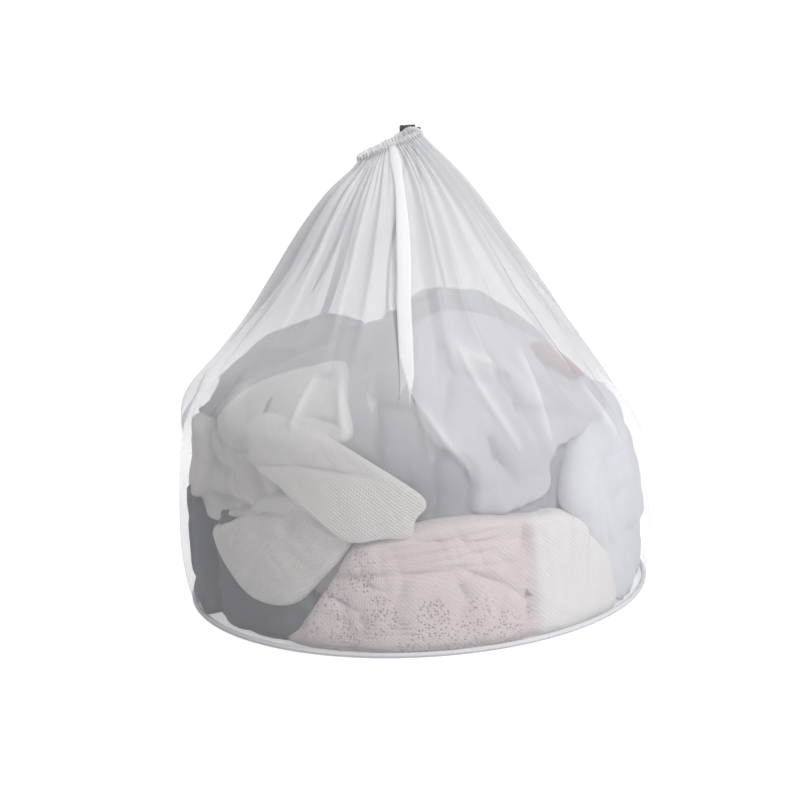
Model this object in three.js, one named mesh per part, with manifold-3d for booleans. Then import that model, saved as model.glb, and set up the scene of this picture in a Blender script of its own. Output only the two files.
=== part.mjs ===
// Mesh laundry bag: a round drawstring bag of fine white mesh, standing full of laundry.
//
// Units are millimetres. +X is to the right, +Y to the back, +Z up. The origin is the centre of the
// round base, on the surface that the bag stands on.
import * as THREE from 'three';
import { mergeVertices } from 'three/addons/utils/BufferGeometryUtils.js';
import Module from 'manifold-3d';

const wasm = await Module();
wasm.setup();

// ---------------------------------------------------------------- driving dimensions

const GAP = 0.3; // air between two pieces that touch on the real bag
const MESH_THICKNESS = 1.2; // the knitted mesh with its small folds

const BASE_RADIUS = 195.5;
const BASE_THICKNESS = 1.2;
const BINDING_RADIUS = 200.6; // outside of the overlocked seam around the base
const BINDING_HEIGHT = 4.8;

// The wall's outline, from the base up: the left and right ends of each ring of mesh, as x and z, and
// the ring's depth as a share of its width. The left shoulder stands higher than the right one, and
// the gathered neck tips up towards the right.
const WALL_RINGS = [
  { left: [-200, 5.2], right: [200, 5.2], depth: 1.0 },
  { left: [-204, 18], right: [204, 18], depth: 1.0 },
  { left: [-206, 48], right: [206, 46], depth: 1.0 },
  { left: [-206, 86], right: [205, 80], depth: 1.0 },
  { left: [-203, 125], right: [201, 117], depth: 1.0 },
  { left: [-199, 152], right: [195, 138], depth: 1.0 },
  { left: [-194, 175], right: [186, 156], depth: 1.0 },
  { left: [-178, 200], right: [168, 184], depth: 1.0 },
  { left: [-155, 224], right: [147, 217], depth: 1.0 },
  { left: [-124, 261], right: [120, 263], depth: 0.99 },
  { left: [-97, 301], right: [94, 302], depth: 0.96 },
  { left: [-71, 336], right: [67, 340], depth: 0.88 },
  { left: [-50, 356], right: [44, 368], depth: 0.74 },
  { left: [-35, 366.5], right: [26, 386], depth: 0.5 },
];
const WALL_SEGMENTS = 40;
const WALL_STEPS = 15; // rings of the finished wall

// The gathered mouth: an ellipse that leans up to the right.
const MOUTH_LEFT = new THREE.Vector3(-31, 0, 372.5);
const MOUTH_RIGHT = new THREE.Vector3(19, 0, 391.5);
const MOUTH_HALF_DEPTH = 9;
const CASING_RADIUS = 5.4;
const CHANNEL_RADIUS = 3.4;
const CASING_SEGMENTS = 30;

const CORD_RADIUS = 1.5;
const CORD_SIDES = 8;
const TAIL_STEPS = 64;
const CORD_SPACING = 3.4; // centre to centre of the two tails inside the lock
const EXIT_ANGLE = THREE.MathUtils.degToRad(42); // where the cord leaves the mouth ring
const EXIT_RISE = THREE.MathUtils.degToRad(37); // how steeply it leaves, backwards and up
const EXIT_HALF_SPACING = 2.7; // each cord from the middle of the buttonhole
const EXIT_HALF_LENGTH = 6.6;
const EXIT_HALF_WIDTH = 2.0;
const EXIT_STITCHING = 0.8;

// The cord lock's barrel lies along X, behind the mouth, with both tails through it.
const LOCK_CENTRE = new THREE.Vector3(11.6, 24.1, 391.6);
const LOCK_TILT = THREE.MathUtils.degToRad(15); // the tails run back and down through it
const BARREL = { start: -8.6, end: 5.0, radius: 7.0, bore: 5.0, endWall: 1.0 };
const PLUNGER = { start: -3.0, end: 9.8, radius: 4.7, chamfer: 1.2 };
const PLUNGER_TRAVEL = 3;
const CROSS_HOLE = { halfWidth: 1.8, halfHeight: 3.8 };
const SPRING = { wire: 0.3, radius: 3.4, turns: 3.5, steps: 42, sides: 6 };

const SEAM_ANGLE = THREE.MathUtils.degToRad(118); // the wall's one upright seam, at the back
const SEAM_HALF_WIDTH = 4;
const SEAM_THICKNESS = 0.9;
const SEAM_STEPS = 22;

const PILE_CLEARANCE = 3; // the laundry's distance from the mesh
const PILE_FLOOR = 1.8;
const PILE_TOP = 256;
const PILE_GAP = 0.5; // between two garments

// ---------------------------------------------------------------- geometry helpers

const smoothPath = (points) => new THREE.CatmullRomCurve3(points, false, 'centripetal');

// A closed body from rings of points. Each ring has the same number of points, in the same order.
function bodyFromRings(rings, closedRound, cap) {
  const count = rings[0].length;
  const positions = rings.flat().flatMap((point) => point.toArray());
  const indices = [];
  const last = closedRound ? rings.length : rings.length - 1;
  for (let i = 0; i < last; i += 1) {
    const next = (i + 1) % rings.length;
    for (let j = 0; j < count; j += 1) {
      const side = (j + 1) % count;
      const [a, b, c, d] = [i * count + j, i * count + side, next * count + side, next * count + j];
      indices.push(a, b, c, a, c, d);
    }
  }
  if (cap) {
    const top = (rings.length - 1) * count;
    for (let j = 1; j < count - 1; j += 1) {
      indices.push(0, j + 1, j, top, top + j, top + j + 1);
    }
  }
  const geometry = new THREE.BufferGeometry();
  geometry.setAttribute('position', new THREE.Float32BufferAttribute(positions, 3));
  geometry.setIndex(indices);
  return geometry;
}

function solid(geometry) {
  const bare = geometry.clone();
  bare.deleteAttribute('normal');
  bare.deleteAttribute('uv');
  const merged = mergeVertices(bare, 1e-4);
  const vertProperties = new Float32Array(merged.attributes.position.array);
  const triVerts = new Uint32Array(merged.index.array);
  return new wasm.Manifold(new wasm.Mesh({ numProp: 3, vertProperties, triVerts }));
}

function geometryOf(manifold) {
  const cut = manifold.getMesh();
  const geometry = new THREE.BufferGeometry();
  geometry.setAttribute('position', new THREE.BufferAttribute(new Float32Array(cut.vertProperties), 3));
  geometry.setIndex(new THREE.BufferAttribute(new Uint32Array(cut.triVerts), 1));
  geometry.computeVertexNormals();
  return geometry;
}

function tube(path, radius, sides, steps) {
  const section = new THREE.Shape();
  section.absarc(0, 0, radius, 0, Math.PI * 2, false);
  const options = { extrudePath: path, steps, bevelEnabled: false, curveSegments: sides / 2 };
  return new THREE.ExtrudeGeometry(section, options);
}

// ---------------------------------------------------------------- the wall's shape

const RING_CURVES = ['left', 'right'].map((side) =>
  smoothPath(WALL_RINGS.map((ring) => new THREE.Vector3(ring[side][0], ring.depth * 100, ring[side][1]))),
);

// A point of the wall: angle runs round the bag from +X over the back, height from 0 at the base
// seam to 1 at the casing, and inset is the distance inside the outer face.
function wallPoint(angle, height, inset = 0) {
  const left = RING_CURVES[0].getPoint(height);
  const right = RING_CURVES[1].getPoint(height);
  const centre = left.clone().lerp(right, 0.5);
  const halfWidth = (right.x - left.x) / 2;
  const halfDepth = (halfWidth * centre.y) / 100;
  const across = halfWidth * Math.cos(angle);
  const slope = (right.z - left.z) / (right.x - left.x);
  return new THREE.Vector3(
    centre.x + across - inset * Math.cos(angle),
    (halfDepth - inset) * Math.sin(angle),
    centre.z + across * slope,
  );
}

const wallRing = (height, inset) =>
  Array.from({ length: WALL_SEGMENTS }, (_, i) =>
    wallPoint((i / WALL_SEGMENTS) * Math.PI * 2, height, inset),
  );

function wallGeometry() {
  const outer = Array.from({ length: WALL_STEPS + 1 }, (_, i) => wallRing(i / WALL_STEPS, 0));
  const inner = Array.from({ length: WALL_STEPS + 1 }, (_, i) => wallRing(1 - i / WALL_STEPS, MESH_THICKNESS));
  return bodyFromRings([...outer, ...inner], true, false);
}

// The free space inside the wall, for the laundry.
function cavity() {
  const rings = Array.from({ length: WALL_STEPS + 1 }, (_, i) =>
    wallRing(i / WALL_STEPS, MESH_THICKNESS + PILE_CLEARANCE),
  );
  for (const ring of rings) {
    for (const point of ring) point.z -= PILE_CLEARANCE;
  }
  return solid(bodyFromRings(rings, false, true));
}

// ---------------------------------------------------------------- base and seams

function baseGeometry() {
  const profile = [
    [0, 0],
    [BASE_RADIUS, 0],
    [BASE_RADIUS, BASE_THICKNESS],
    [0, BASE_THICKNESS],
  ].map(([radius, height]) => new THREE.Vector2(radius, height));
  return new THREE.LatheGeometry(profile, WALL_SEGMENTS).rotateX(Math.PI / 2);
}

function bindingGeometry() {
  const inside = BASE_RADIUS + GAP + 0.2;
  const middle = (inside + BINDING_RADIUS) / 2;
  const profile = [
    [inside, 0],
    [BINDING_RADIUS - 0.8, 0],
    [BINDING_RADIUS, 0.8],
    [BINDING_RADIUS, BINDING_HEIGHT * 0.7],
    [middle, BINDING_HEIGHT],
    [inside, BINDING_HEIGHT * 0.7],
    [inside, 0],
  ].map(([radius, height]) => new THREE.Vector2(radius, height));
  return new THREE.LatheGeometry(profile, WALL_SEGMENTS).rotateX(Math.PI / 2);
}

// The tape that covers the wall's upright seam, on the outside of the mesh.
function seamTapeGeometry() {
  const rings = [];
  for (let i = 0; i <= SEAM_STEPS; i += 1) {
    const height = 0.012 + (0.93 * i) / SEAM_STEPS;
    const middle = wallPoint(SEAM_ANGLE, height);
    const reach = Math.hypot(middle.x, middle.y);
    const halfAngle = SEAM_HALF_WIDTH / reach;
    const near = -1.1;
    const far = near - SEAM_THICKNESS;
    rings.push([
      wallPoint(SEAM_ANGLE - halfAngle, height, near),
      wallPoint(SEAM_ANGLE - halfAngle, height, far),
      wallPoint(SEAM_ANGLE + halfAngle, height, far),
      wallPoint(SEAM_ANGLE + halfAngle, height, near),
    ]);
  }
  return bodyFromRings(rings, false, true);
}

// ---------------------------------------------------------------- mouth, casing and drawstring

const mouthCentre = MOUTH_LEFT.clone().lerp(MOUTH_RIGHT, 0.5);
const mouthAxis = MOUTH_RIGHT.clone().sub(mouthCentre);

function mouthPoint(angle) {
  return new THREE.Vector3(
    mouthCentre.x + mouthAxis.x * Math.cos(angle),
    MOUTH_HALF_DEPTH * Math.sin(angle),
    mouthCentre.z + mouthAxis.z * Math.cos(angle),
  );
}

// A ring of round section around the mouth.
function mouthRing(radius, sides) {
  const up = new THREE.Vector3(-mouthAxis.z, 0, mouthAxis.x).normalize();
  const rings = Array.from({ length: CASING_SEGMENTS }, (_, i) => {
    const angle = (i / CASING_SEGMENTS) * Math.PI * 2;
    const middle = mouthPoint(angle);
    const along = mouthPoint(angle + 0.01).sub(mouthPoint(angle - 0.01)).normalize();
    const outwards = along.clone().cross(up);
    return Array.from({ length: sides }, (__, j) => {
      const turn = (j / sides) * Math.PI * 2;
      return middle
        .clone()
        .addScaledVector(outwards, radius * Math.cos(turn))
        .addScaledVector(up, -radius * Math.sin(turn));
    });
  });
  return bodyFromRings(rings, true, false);
}

const exitCentre = mouthPoint(EXIT_ANGLE);
const exitAlong = mouthPoint(EXIT_ANGLE + 0.01).sub(mouthPoint(EXIT_ANGLE - 0.01)).normalize();
const exitOut = new THREE.Vector3(0, Math.cos(EXIT_RISE), Math.sin(EXIT_RISE));
exitOut.addScaledVector(exitAlong, -exitOut.dot(exitAlong)).normalize();
const exitPlace = (along, out) =>
  exitCentre.clone().addScaledVector(exitAlong, along).addScaledVector(exitOut, out);

const EXIT_REACH = CASING_RADIUS + 1.2; // from the cord's channel to the buttonhole's lips

// A long round-ended prism that stands on the buttonhole, from one depth to another.
function buttonholePrism(halfLength, halfWidth, from, to) {
  const outline = new THREE.Shape();
  const flat = halfLength - halfWidth;
  outline.moveTo(-flat, -halfWidth);
  outline.lineTo(flat, -halfWidth);
  outline.absarc(flat, 0, halfWidth, -Math.PI / 2, Math.PI / 2, false);
  outline.lineTo(-flat, halfWidth);
  outline.absarc(-flat, 0, halfWidth, Math.PI / 2, Math.PI * 1.5, false);
  const options = { depth: to - from, bevelEnabled: false, curveSegments: 5 };
  const geometry = new THREE.ExtrudeGeometry(outline, options);
  const basis = new THREE.Matrix4().makeBasis(exitAlong, exitOut.clone().cross(exitAlong), exitOut);
  return geometry.applyMatrix4(basis.setPosition(exitPlace(0, from)));
}

// One end of the drawstring: out of its channel and through the buttonhole.
function exitBend(side) {
  return [
    exitPlace(side * (EXIT_HALF_SPACING + 3.2), 0.9),
    exitPlace(side * (EXIT_HALF_SPACING + 0.9), 2.9),
    exitPlace(side * EXIT_HALF_SPACING, EXIT_REACH - GAP / 2),
  ];
}

function drawstringPath() {
  const bendAngle = 0.42;
  const points = [...exitBend(1)].reverse();
  const arcSteps = 26;
  for (let i = 0; i <= arcSteps; i += 1) {
    const sweep = Math.PI * 2 - 2 * bendAngle;
    points.push(mouthPoint(EXIT_ANGLE + bendAngle + (sweep * i) / arcSteps));
  }
  points.push(...exitBend(-1));
  return smoothPath(points);
}

function casingGeometry() {
  const sides = 8;
  const channel = solid(mouthRing(CHANNEL_RADIUS, sides));
  const hole = solid(
    buttonholePrism(
      EXIT_HALF_LENGTH + EXIT_STITCHING + GAP,
      EXIT_HALF_WIDTH + EXIT_STITCHING + GAP,
      0,
      EXIT_REACH + 2,
    ),
  );
  return geometryOf(solid(mouthRing(CASING_RADIUS, sides)).subtract(channel).subtract(hole));
}

function buttonholeGeometry() {
  const from = CHANNEL_RADIUS - 0.6;
  const halfLength = EXIT_HALF_LENGTH + EXIT_STITCHING;
  const halfWidth = EXIT_HALF_WIDTH + EXIT_STITCHING;
  const sleeve = solid(buttonholePrism(halfLength, halfWidth, from, EXIT_REACH));
  const hole = solid(buttonholePrism(EXIT_HALF_LENGTH, EXIT_HALF_WIDTH, from - 1, EXIT_REACH + 1));
  const cord = solid(tube(drawstringPath(), CORD_RADIUS + GAP, CORD_SIDES, 60));
  return geometryOf(sleeve.subtract(hole).subtract(cord));
}

// ---------------------------------------------------------------- the tails

const lockRun = new THREE.Vector3(0, Math.cos(LOCK_TILT), -Math.sin(LOCK_TILT));
const lockUp = new THREE.Vector3(0, Math.sin(LOCK_TILT), Math.cos(LOCK_TILT));
const lockPlace = (along, up) =>
  LOCK_CENTRE.clone().addScaledVector(lockRun, along).addScaledVector(lockUp, up);

const STRAIGHT_START = -7.5; // the tails' straight stretch, from the lock's centre
const STRAIGHT_END = 20.5;

// After the lock each tail bends down on to the mesh, follows the back of the bag to the surface
// that it stands on, and ends there in a loose curve.
const LEFT_TAIL = [
  [9.5, 52, 381.5],
  [7.5, 61, 371],
  [5, 68.5, 355],
  [1.5, 75.5, 337],
  [-2, 83.5, 318],
  [-8, 99.5, 294.8],
  [-13, 119, 268],
  [-16, 140.2, 238.8],
  [-18.5, 162.2, 209.4],
  [-20.5, 180.7, 184],
  [-21.5, 192.8, 162],
  [-21.5, 199.8, 138.5],
  [-20.5, 204.4, 109.5],
  [-18.5, 206.8, 80],
  [-16, 207.4, 50],
  [-13, 206.8, 26],
  [-12.5, 206.2, 13],
  [-16, 208, 4.5],
  [-26, 212, 1.7],
  [-40, 214, 1.7],
  [-56, 211.5, 1.7],
];
const RIGHT_TAIL = [
  [13.5, 52, 382.8],
  [16, 62, 372.5],
  [18.5, 70, 357],
  [21, 76, 339],
  [24, 81, 318],
  [29, 97.3, 293],
  [34, 115.8, 266.3],
  [39, 135.5, 237],
  [41.8, 156, 208],
  [43, 174.4, 182.2],
  [43.5, 187.2, 161],
  [42.2, 195.6, 138],
  [40, 201.3, 109.4],
  [37.4, 204.5, 80],
  [35.5, 205.6, 50],
  [35.2, 205, 26],
  [36, 204.8, 13],
  [40, 206.4, 4.5],
  [50, 209, 1.7],
  [64, 208, 1.7],
  [79, 203, 1.7],
];

function tailPath(side, route) {
  const up = (-side * CORD_SPACING) / 2;
  const points = [
    exitPlace(side * EXIT_HALF_SPACING, EXIT_REACH + GAP / 2),
    exitPlace(side * EXIT_HALF_SPACING, EXIT_REACH + 1.5),
    lockPlace(STRAIGHT_START, up),
    lockPlace(0, up),
    lockPlace(STRAIGHT_END / 2, up),
    lockPlace(STRAIGHT_END, up),
    ...route.map((place) => new THREE.Vector3(...place)),
  ];
  return smoothPath(points);
}

function knotGeometry(route) {
  const end = new THREE.Vector3(...route.at(-1));
  const along = end.clone().sub(new THREE.Vector3(...route.at(-2))).normalize();
  const length = 5;
  const girth = 3.6;
  const knot = new THREE.SphereGeometry(1, 10, 8).scale(girth, length, girth);
  knot.applyQuaternion(new THREE.Quaternion().setFromUnitVectors(new THREE.Vector3(0, 1, 0), along));
  const middle = end.addScaledVector(along, length + GAP);
  middle.z = girth + 0.1;
  return knot.translate(middle.x, middle.y, middle.z);
}

// ---------------------------------------------------------------- the cord lock

// Turns a shape made along Z so that it lies along X, in the lock's own tilt.
function alongLock(geometry) {
  const basis = new THREE.Matrix4().makeBasis(lockUp, lockRun.clone().negate(), new THREE.Vector3(1, 0, 0));
  return geometry.applyMatrix4(basis.setPosition(LOCK_CENTRE));
}

function turned(profile) {
  const points = profile.map(([radius, along]) => new THREE.Vector2(radius, along));
  return alongLock(new THREE.LatheGeometry(points, 20).rotateX(Math.PI / 2));
}

function crossHole(halfHeight, from, to) {
  const depth = 20;
  return alongLock(
    new THREE.BoxGeometry(2 * halfHeight, depth, to - from).translate(0, 0, (from + to) / 2),
  );
}

function barrelGeometry() {
  const { start, end, radius, bore, endWall } = BARREL;
  const edge = 0.9;
  const shell = turned([
    [0, start],
    [radius - edge, start],
    [radius, start + edge],
    [radius, end - edge],
    [radius - edge / 2, end],
    [bore, end],
    [bore, start + endWall],
    [0, start + endWall],
  ]);
  const { halfWidth, halfHeight } = CROSS_HOLE;
  return geometryOf(solid(shell).subtract(solid(crossHole(halfHeight, -halfWidth, halfWidth))));
}

function plungerGeometry() {
  const { start, end, radius, chamfer } = PLUNGER;
  const body = turned([
    [0, start],
    [radius, start],
    [radius, end - chamfer],
    [radius - chamfer, end],
    [0, end],
  ]);
  const { halfWidth, halfHeight } = CROSS_HOLE;
  const slot = crossHole(halfHeight, -halfWidth, halfWidth + PLUNGER_TRAVEL);
  return geometryOf(solid(body).subtract(solid(slot)));
}

function springGeometry() {
  const { wire, radius, turns, steps, sides } = SPRING;
  const from = BARREL.start + BARREL.endWall + GAP + wire;
  const to = PLUNGER.start - GAP - wire;
  const points = Array.from({ length: steps + 1 }, (_, i) => {
    const turn = (i / steps) * turns * Math.PI * 2;
    const along = from + ((to - from) * i) / steps;
    return new THREE.Vector3(radius * Math.cos(turn), radius * Math.sin(turn), along);
  });
  return alongLock(tube(smoothPath(points), wire, sides, steps));
}

// ---------------------------------------------------------------- laundry

// Each garment is a soft lump: where its middle is, its half sizes, and its turn about Z in degrees.
// A garment further down the list gives way to those before it.
const GARMENTS = [
  { name: 'laundry_lace_knit', at: [35, -122, 48], half: [138, 78, 60], turn: 0, colour: 0xd9cbc8 },
  { name: 'laundry_cream_sweater', at: [-100, -112, 128], half: [78, 72, 92], turn: 20, colour: 0xdedbd2 },
  { name: 'laundry_grey_trousers', at: [-128, -30, 52], half: [70, 120, 60], turn: 0, colour: 0x6f7278 },
  { name: 'laundry_white_shirt', at: [45, -92, 170], half: [118, 86, 66], turn: 0, colour: 0xdadbdd },
  { name: 'laundry_white_towel', at: [140, -18, 92], half: [66, 112, 92], turn: 0, colour: 0xe2e3e5 },
  { name: 'laundry_red_sock', at: [112, -92, 218], half: [24, 22, 13], turn: 30, colour: 0xb86a66 },
  { name: 'laundry_grey_hoodie', at: [-88, 6, 190], half: [112, 108, 60], turn: 0, colour: 0x8a8c90 },
  { name: 'laundry_blue_jeans', at: [-70, 122, 86], half: [124, 74, 92], turn: -14, colour: 0x6c7884 },
  { name: 'laundry_bath_towel', at: [72, 128, 92], half: [110, 74, 98], turn: 16, colour: 0xc9cdd0 },
  { name: 'laundry_dark_pullover', at: [62, 50, 204], half: [104, 108, 56], turn: 0, colour: 0x5e6168 },
  { name: 'laundry_cotton_sheet', at: [0, 0, 92], half: [100, 92, 92], turn: 0, colour: 0xd4d6d8 },
];

function lump(garment, extra) {
  const [x, y, z] = garment.half;
  const [rounds, slices] = [12, 8];
  const shape = new THREE.SphereGeometry(1, rounds, slices).scale(x + extra, y + extra, z + extra);
  return solid(shape.rotateZ(THREE.MathUtils.degToRad(garment.turn)).translate(...garment.at));
}

function laundryGeometries() {
  const room = cavity();
  const span = 600;
  const layer = new THREE.BoxGeometry(span, span, PILE_TOP - PILE_FLOOR);
  const pile = solid(layer.translate(0, 0, (PILE_TOP + PILE_FLOOR) / 2)).intersect(room);
  return GARMENTS.map((garment, index) => {
    let shape = lump(garment, 0).intersect(pile);
    for (const earlier of GARMENTS.slice(0, index)) {
      shape = shape.subtract(lump(earlier, PILE_GAP));
    }
    return geometryOf(shape);
  });
}

// ---------------------------------------------------------------- assembly

const bag = new THREE.Group();

function piece(name, geometry, color, roughness, metalness = 0) {
  const mesh = new THREE.Mesh(geometry, new THREE.MeshStandardMaterial({ color, roughness, metalness }));
  mesh.name = name;
  bag.add(mesh);
  return mesh;
}

const MESH_WHITE = 0xe9eaee;
const CORD_WHITE = 0xf0f0f0;
const LOCK_BLACK = 0x141416;

piece('mesh_wall', wallGeometry(), MESH_WHITE, 0.7);
piece('mesh_base', baseGeometry(), MESH_WHITE, 0.7);
piece('base_seam_binding', bindingGeometry(), MESH_WHITE, 0.8);
piece('back_seam_tape', seamTapeGeometry(), MESH_WHITE, 0.8);
piece('drawstring_casing', casingGeometry(), MESH_WHITE, 0.75);
piece('cord_exit_buttonhole', buttonholeGeometry(), CORD_WHITE, 0.8);
piece('drawstring', tube(drawstringPath(), CORD_RADIUS, CORD_SIDES, 44), CORD_WHITE, 0.85);
piece('drawstring_tail_left', tube(tailPath(1, LEFT_TAIL), CORD_RADIUS, CORD_SIDES, TAIL_STEPS), CORD_WHITE, 0.85);
piece('drawstring_tail_right', tube(tailPath(-1, RIGHT_TAIL), CORD_RADIUS, CORD_SIDES, TAIL_STEPS), CORD_WHITE, 0.85);
piece('tail_knot_left', knotGeometry(LEFT_TAIL), CORD_WHITE, 0.85);
piece('tail_knot_right', knotGeometry(RIGHT_TAIL), CORD_WHITE, 0.85);
piece('cord_lock_barrel', barrelGeometry(), LOCK_BLACK, 0.45);
piece('cord_lock_plunger', plungerGeometry(), LOCK_BLACK, 0.4);
piece('cord_lock_spring', springGeometry(), 0xb8bcc0, 0.3, 1);

laundryGeometries().forEach((geometry, index) => {
  piece(GARMENTS[index].name, geometry, GARMENTS[index].colour, 0.95);
});

export default bag;
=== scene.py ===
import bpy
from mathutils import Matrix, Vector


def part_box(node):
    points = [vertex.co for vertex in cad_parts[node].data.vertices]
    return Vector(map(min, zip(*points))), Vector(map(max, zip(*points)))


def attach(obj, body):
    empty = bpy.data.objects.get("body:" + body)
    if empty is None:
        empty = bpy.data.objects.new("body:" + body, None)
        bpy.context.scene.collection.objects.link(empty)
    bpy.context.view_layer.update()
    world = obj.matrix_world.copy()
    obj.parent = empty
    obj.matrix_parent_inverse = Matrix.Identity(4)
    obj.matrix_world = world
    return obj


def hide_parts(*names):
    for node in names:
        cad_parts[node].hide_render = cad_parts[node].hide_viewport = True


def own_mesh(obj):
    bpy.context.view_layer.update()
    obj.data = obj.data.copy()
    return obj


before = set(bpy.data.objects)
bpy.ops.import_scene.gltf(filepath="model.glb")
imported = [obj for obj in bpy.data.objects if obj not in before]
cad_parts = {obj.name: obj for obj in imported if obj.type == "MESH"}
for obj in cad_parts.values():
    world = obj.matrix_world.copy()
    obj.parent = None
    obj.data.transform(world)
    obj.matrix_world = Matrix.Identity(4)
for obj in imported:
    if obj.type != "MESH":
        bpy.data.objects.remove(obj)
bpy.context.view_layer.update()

import math

import bpy
import numpy as np
from mathutils import Matrix, Vector

# A round mesh laundry bag full of laundry. Everything is in metres, in the CAD model's frame: +X to the
# right, +Y to the back, +Z up, and the origin at the middle of the base. Angles run round the bag from +X
# over the back, so 270 degrees is the front.

MM = 0.001
TURN = 2 * math.pi
CLOTH_WIDTH = 1.257  # the wall before it is gathered: round the 400 mm base
CLOTH_HEIGHT = 0.45
BASE_RADIUS = 0.2
PRESSED_RADIUS = 0.19  # angles times this give metres of cloth, on the pressed garments and the folds

# ------------------------------------------------------------------ camera

CAMERA_DISTANCE = 1.4
CAMERA_AIM = Vector((0, 0, 0.2))
CAMERA_ELEVATION = math.radians(10.13)
CAMERA_ROLL = math.radians(2.91)
CAMERA_LENS_MM = 72.5
CAMERA_SHIFT = (-0.0095, -0.054)


def make_camera():
    data = bpy.data.cameras.new("camera")
    data.lens = CAMERA_LENS_MM
    data.sensor_width = 36
    data.shift_x, data.shift_y = CAMERA_SHIFT
    camera = bpy.data.objects.new("camera", data)
    bpy.context.scene.collection.objects.link(camera)
    back = Vector((0, -math.cos(CAMERA_ELEVATION), math.sin(CAMERA_ELEVATION)))
    right = Vector((1, 0, 0))
    up = back.cross(right)
    turned = Matrix((right, up, back)).transposed() @ Matrix.Rotation(-CAMERA_ROLL, 3, "Z")
    camera.matrix_world = Matrix.Translation(CAMERA_AIM + back * CAMERA_DISTANCE) @ turned.to_4x4()
    bpy.context.scene.camera = camera


# ------------------------------------------------------------------ mesh and noise helpers


def new_object(name, vertices, faces, material, uv=None, smooth=True):
    """A mesh object from arrays; uv holds one pair for each vertex, in metres of cloth."""
    mesh = bpy.data.meshes.new(name)
    mesh.from_pydata(np.asarray(vertices).tolist(), [], [list(map(int, face)) for face in faces])
    if uv is not None:
        layer = mesh.uv_layers.new(name="cloth")
        loops = np.zeros(len(mesh.loops), dtype=np.int64)
        mesh.loops.foreach_get("vertex_index", loops)
        layer.data.foreach_set("uv", np.asarray(uv)[loops].astype(np.float32).ravel())
    mesh.polygons.foreach_set("use_smooth", [smooth] * len(mesh.polygons))
    mesh.materials.append(material)
    mesh.update()
    obj = bpy.data.objects.new(name, mesh)
    bpy.context.scene.collection.objects.link(obj)
    return obj


def grid_faces(rows, columns, closed_columns=False, closed_rows=False):
    """Quads over a grid of vertices that is numbered row by row."""
    row_count = rows if closed_rows else rows - 1
    column_count = columns if closed_columns else columns - 1
    i, j = np.meshgrid(np.arange(row_count), np.arange(column_count), indexing="ij")
    next_i = (i + 1) % rows
    next_j = (j + 1) % columns
    corners = [i * columns + j, i * columns + next_j, next_i * columns + next_j, next_i * columns + j]
    return np.stack(corners, axis=-1).reshape(-1, 4)


def cap_faces(rows, columns):
    """The two faces that close the ends of a tube whose sides are a grid with closed columns."""
    return [list(range(columns))[::-1], [(rows - 1) * columns + j for j in range(columns)]]


def grid_object(name, points, u, v, material, closed_columns=False):
    """A sheet through a grid of points; u is each column's place on the cloth in metres, v each row's."""
    rows, columns = points.shape[:2]
    faces = grid_faces(rows, columns, closed_columns=closed_columns)
    uv = np.stack([np.tile(u, rows), np.repeat(v, columns)], axis=-1)
    return new_object(name, points.reshape(-1, 3), faces, material, uv=uv)


def smoothstep(value, low, high):
    share = np.clip((value - low) / (high - low), 0, 1)
    return share * share * (3 - 2 * share)


LATTICE = 32  # the noise repeats after this many features


def noise(points, size, seed):
    """Smooth noise from -1 to 1 at 3D points, with features of about the given size."""
    lattice = np.random.default_rng(seed).uniform(-1, 1, (LATTICE, LATTICE, LATTICE))
    spot = np.asarray(points) / size + 100
    cell = np.floor(spot).astype(int)
    part = spot - cell
    part = part * part * (3 - 2 * part)
    total = np.zeros(len(spot))
    for corner in np.ndindex(2, 2, 2):
        weight = np.prod(np.where(np.array(corner) == 1, part, 1 - part), axis=1)
        x, y, z = ((cell + np.array(corner)) % LATTICE).T
        total += weight * lattice[x, y, z]
    return total


def creases(points, size, seed):
    """Sharp valleys on the lines where a noise changes sign: 1 in a valley, towards 0 away from it."""
    return (1 - np.clip(np.abs(noise(points, size, seed)) * 2.2, 0, 1)) ** 2.5


def catmull_rom(before, here, there, after, share):
    """The smooth curve from here, where share is 0, to there, where it is 1."""
    return 0.5 * (
        2 * here
        + (there - before) * share
        + (2 * before - 5 * here + 4 * there - after) * share**2
        + (3 * here - before - 3 * there + after) * share**3
    )


def catmull(values, at):
    """Smooth interpolation of the rows of values at fractional row numbers."""
    values = np.asarray(values, float)
    last = len(values) - 1
    index = np.clip(np.floor(at).astype(int), 0, last - 1)
    neighbours = [values[np.clip(index + step, 0, last)] for step in (-1, 0, 1, 2)]
    return catmull_rom(*neighbours, (at - index)[:, None])


# ------------------------------------------------------------------ the wall's shape, read from the frame

TOUCH = 0.15 * MM


def read_wall_rings():
    """The CAD wall's rings: left x and z, right x and z, and half depth, from the base up."""
    corners = np.array([v.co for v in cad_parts["mesh_wall"].data.vertices])
    side = corners[np.abs(corners[:, 1]) < TOUCH]

    def ends(points, outermost):
        order = points[np.argsort(points[:, 2])]
        rings = np.split(order, np.nonzero(np.diff(order[:, 2]) > TOUCH)[0] + 1)
        return [(outermost(ring[:, 0]), ring[0, 2]) for ring in rings]

    left = ends(side[side[:, 0] < 0], np.min)
    right = ends(side[side[:, 0] > 0], np.max)
    rings = []
    for (left_x, left_z), (right_x, right_z) in zip(left, right):
        middle = np.array([(left_x + right_x) / 2, (left_z + right_z) / 2])
        near = np.abs(corners[:, [0, 2]] - middle).max(axis=1) < TOUCH
        rings.append([left_x, left_z, right_x, right_z, corners[near, 1].max()])
    return np.array(rings)


WALL_RINGS = read_wall_rings()


def wall_frame(level):
    """Centre x and z, half width, half depth and slope of the wall's ring at a level from 0 to 1."""
    left_x, left_z, right_x, right_z, depth = catmull(WALL_RINGS, level * (len(WALL_RINGS) - 1)).T
    half = (right_x - left_x) / 2
    slope = (right_z - left_z) / (right_x - left_x)
    return (left_x + right_x) / 2, (left_z + right_z) / 2, half, depth, slope


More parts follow.
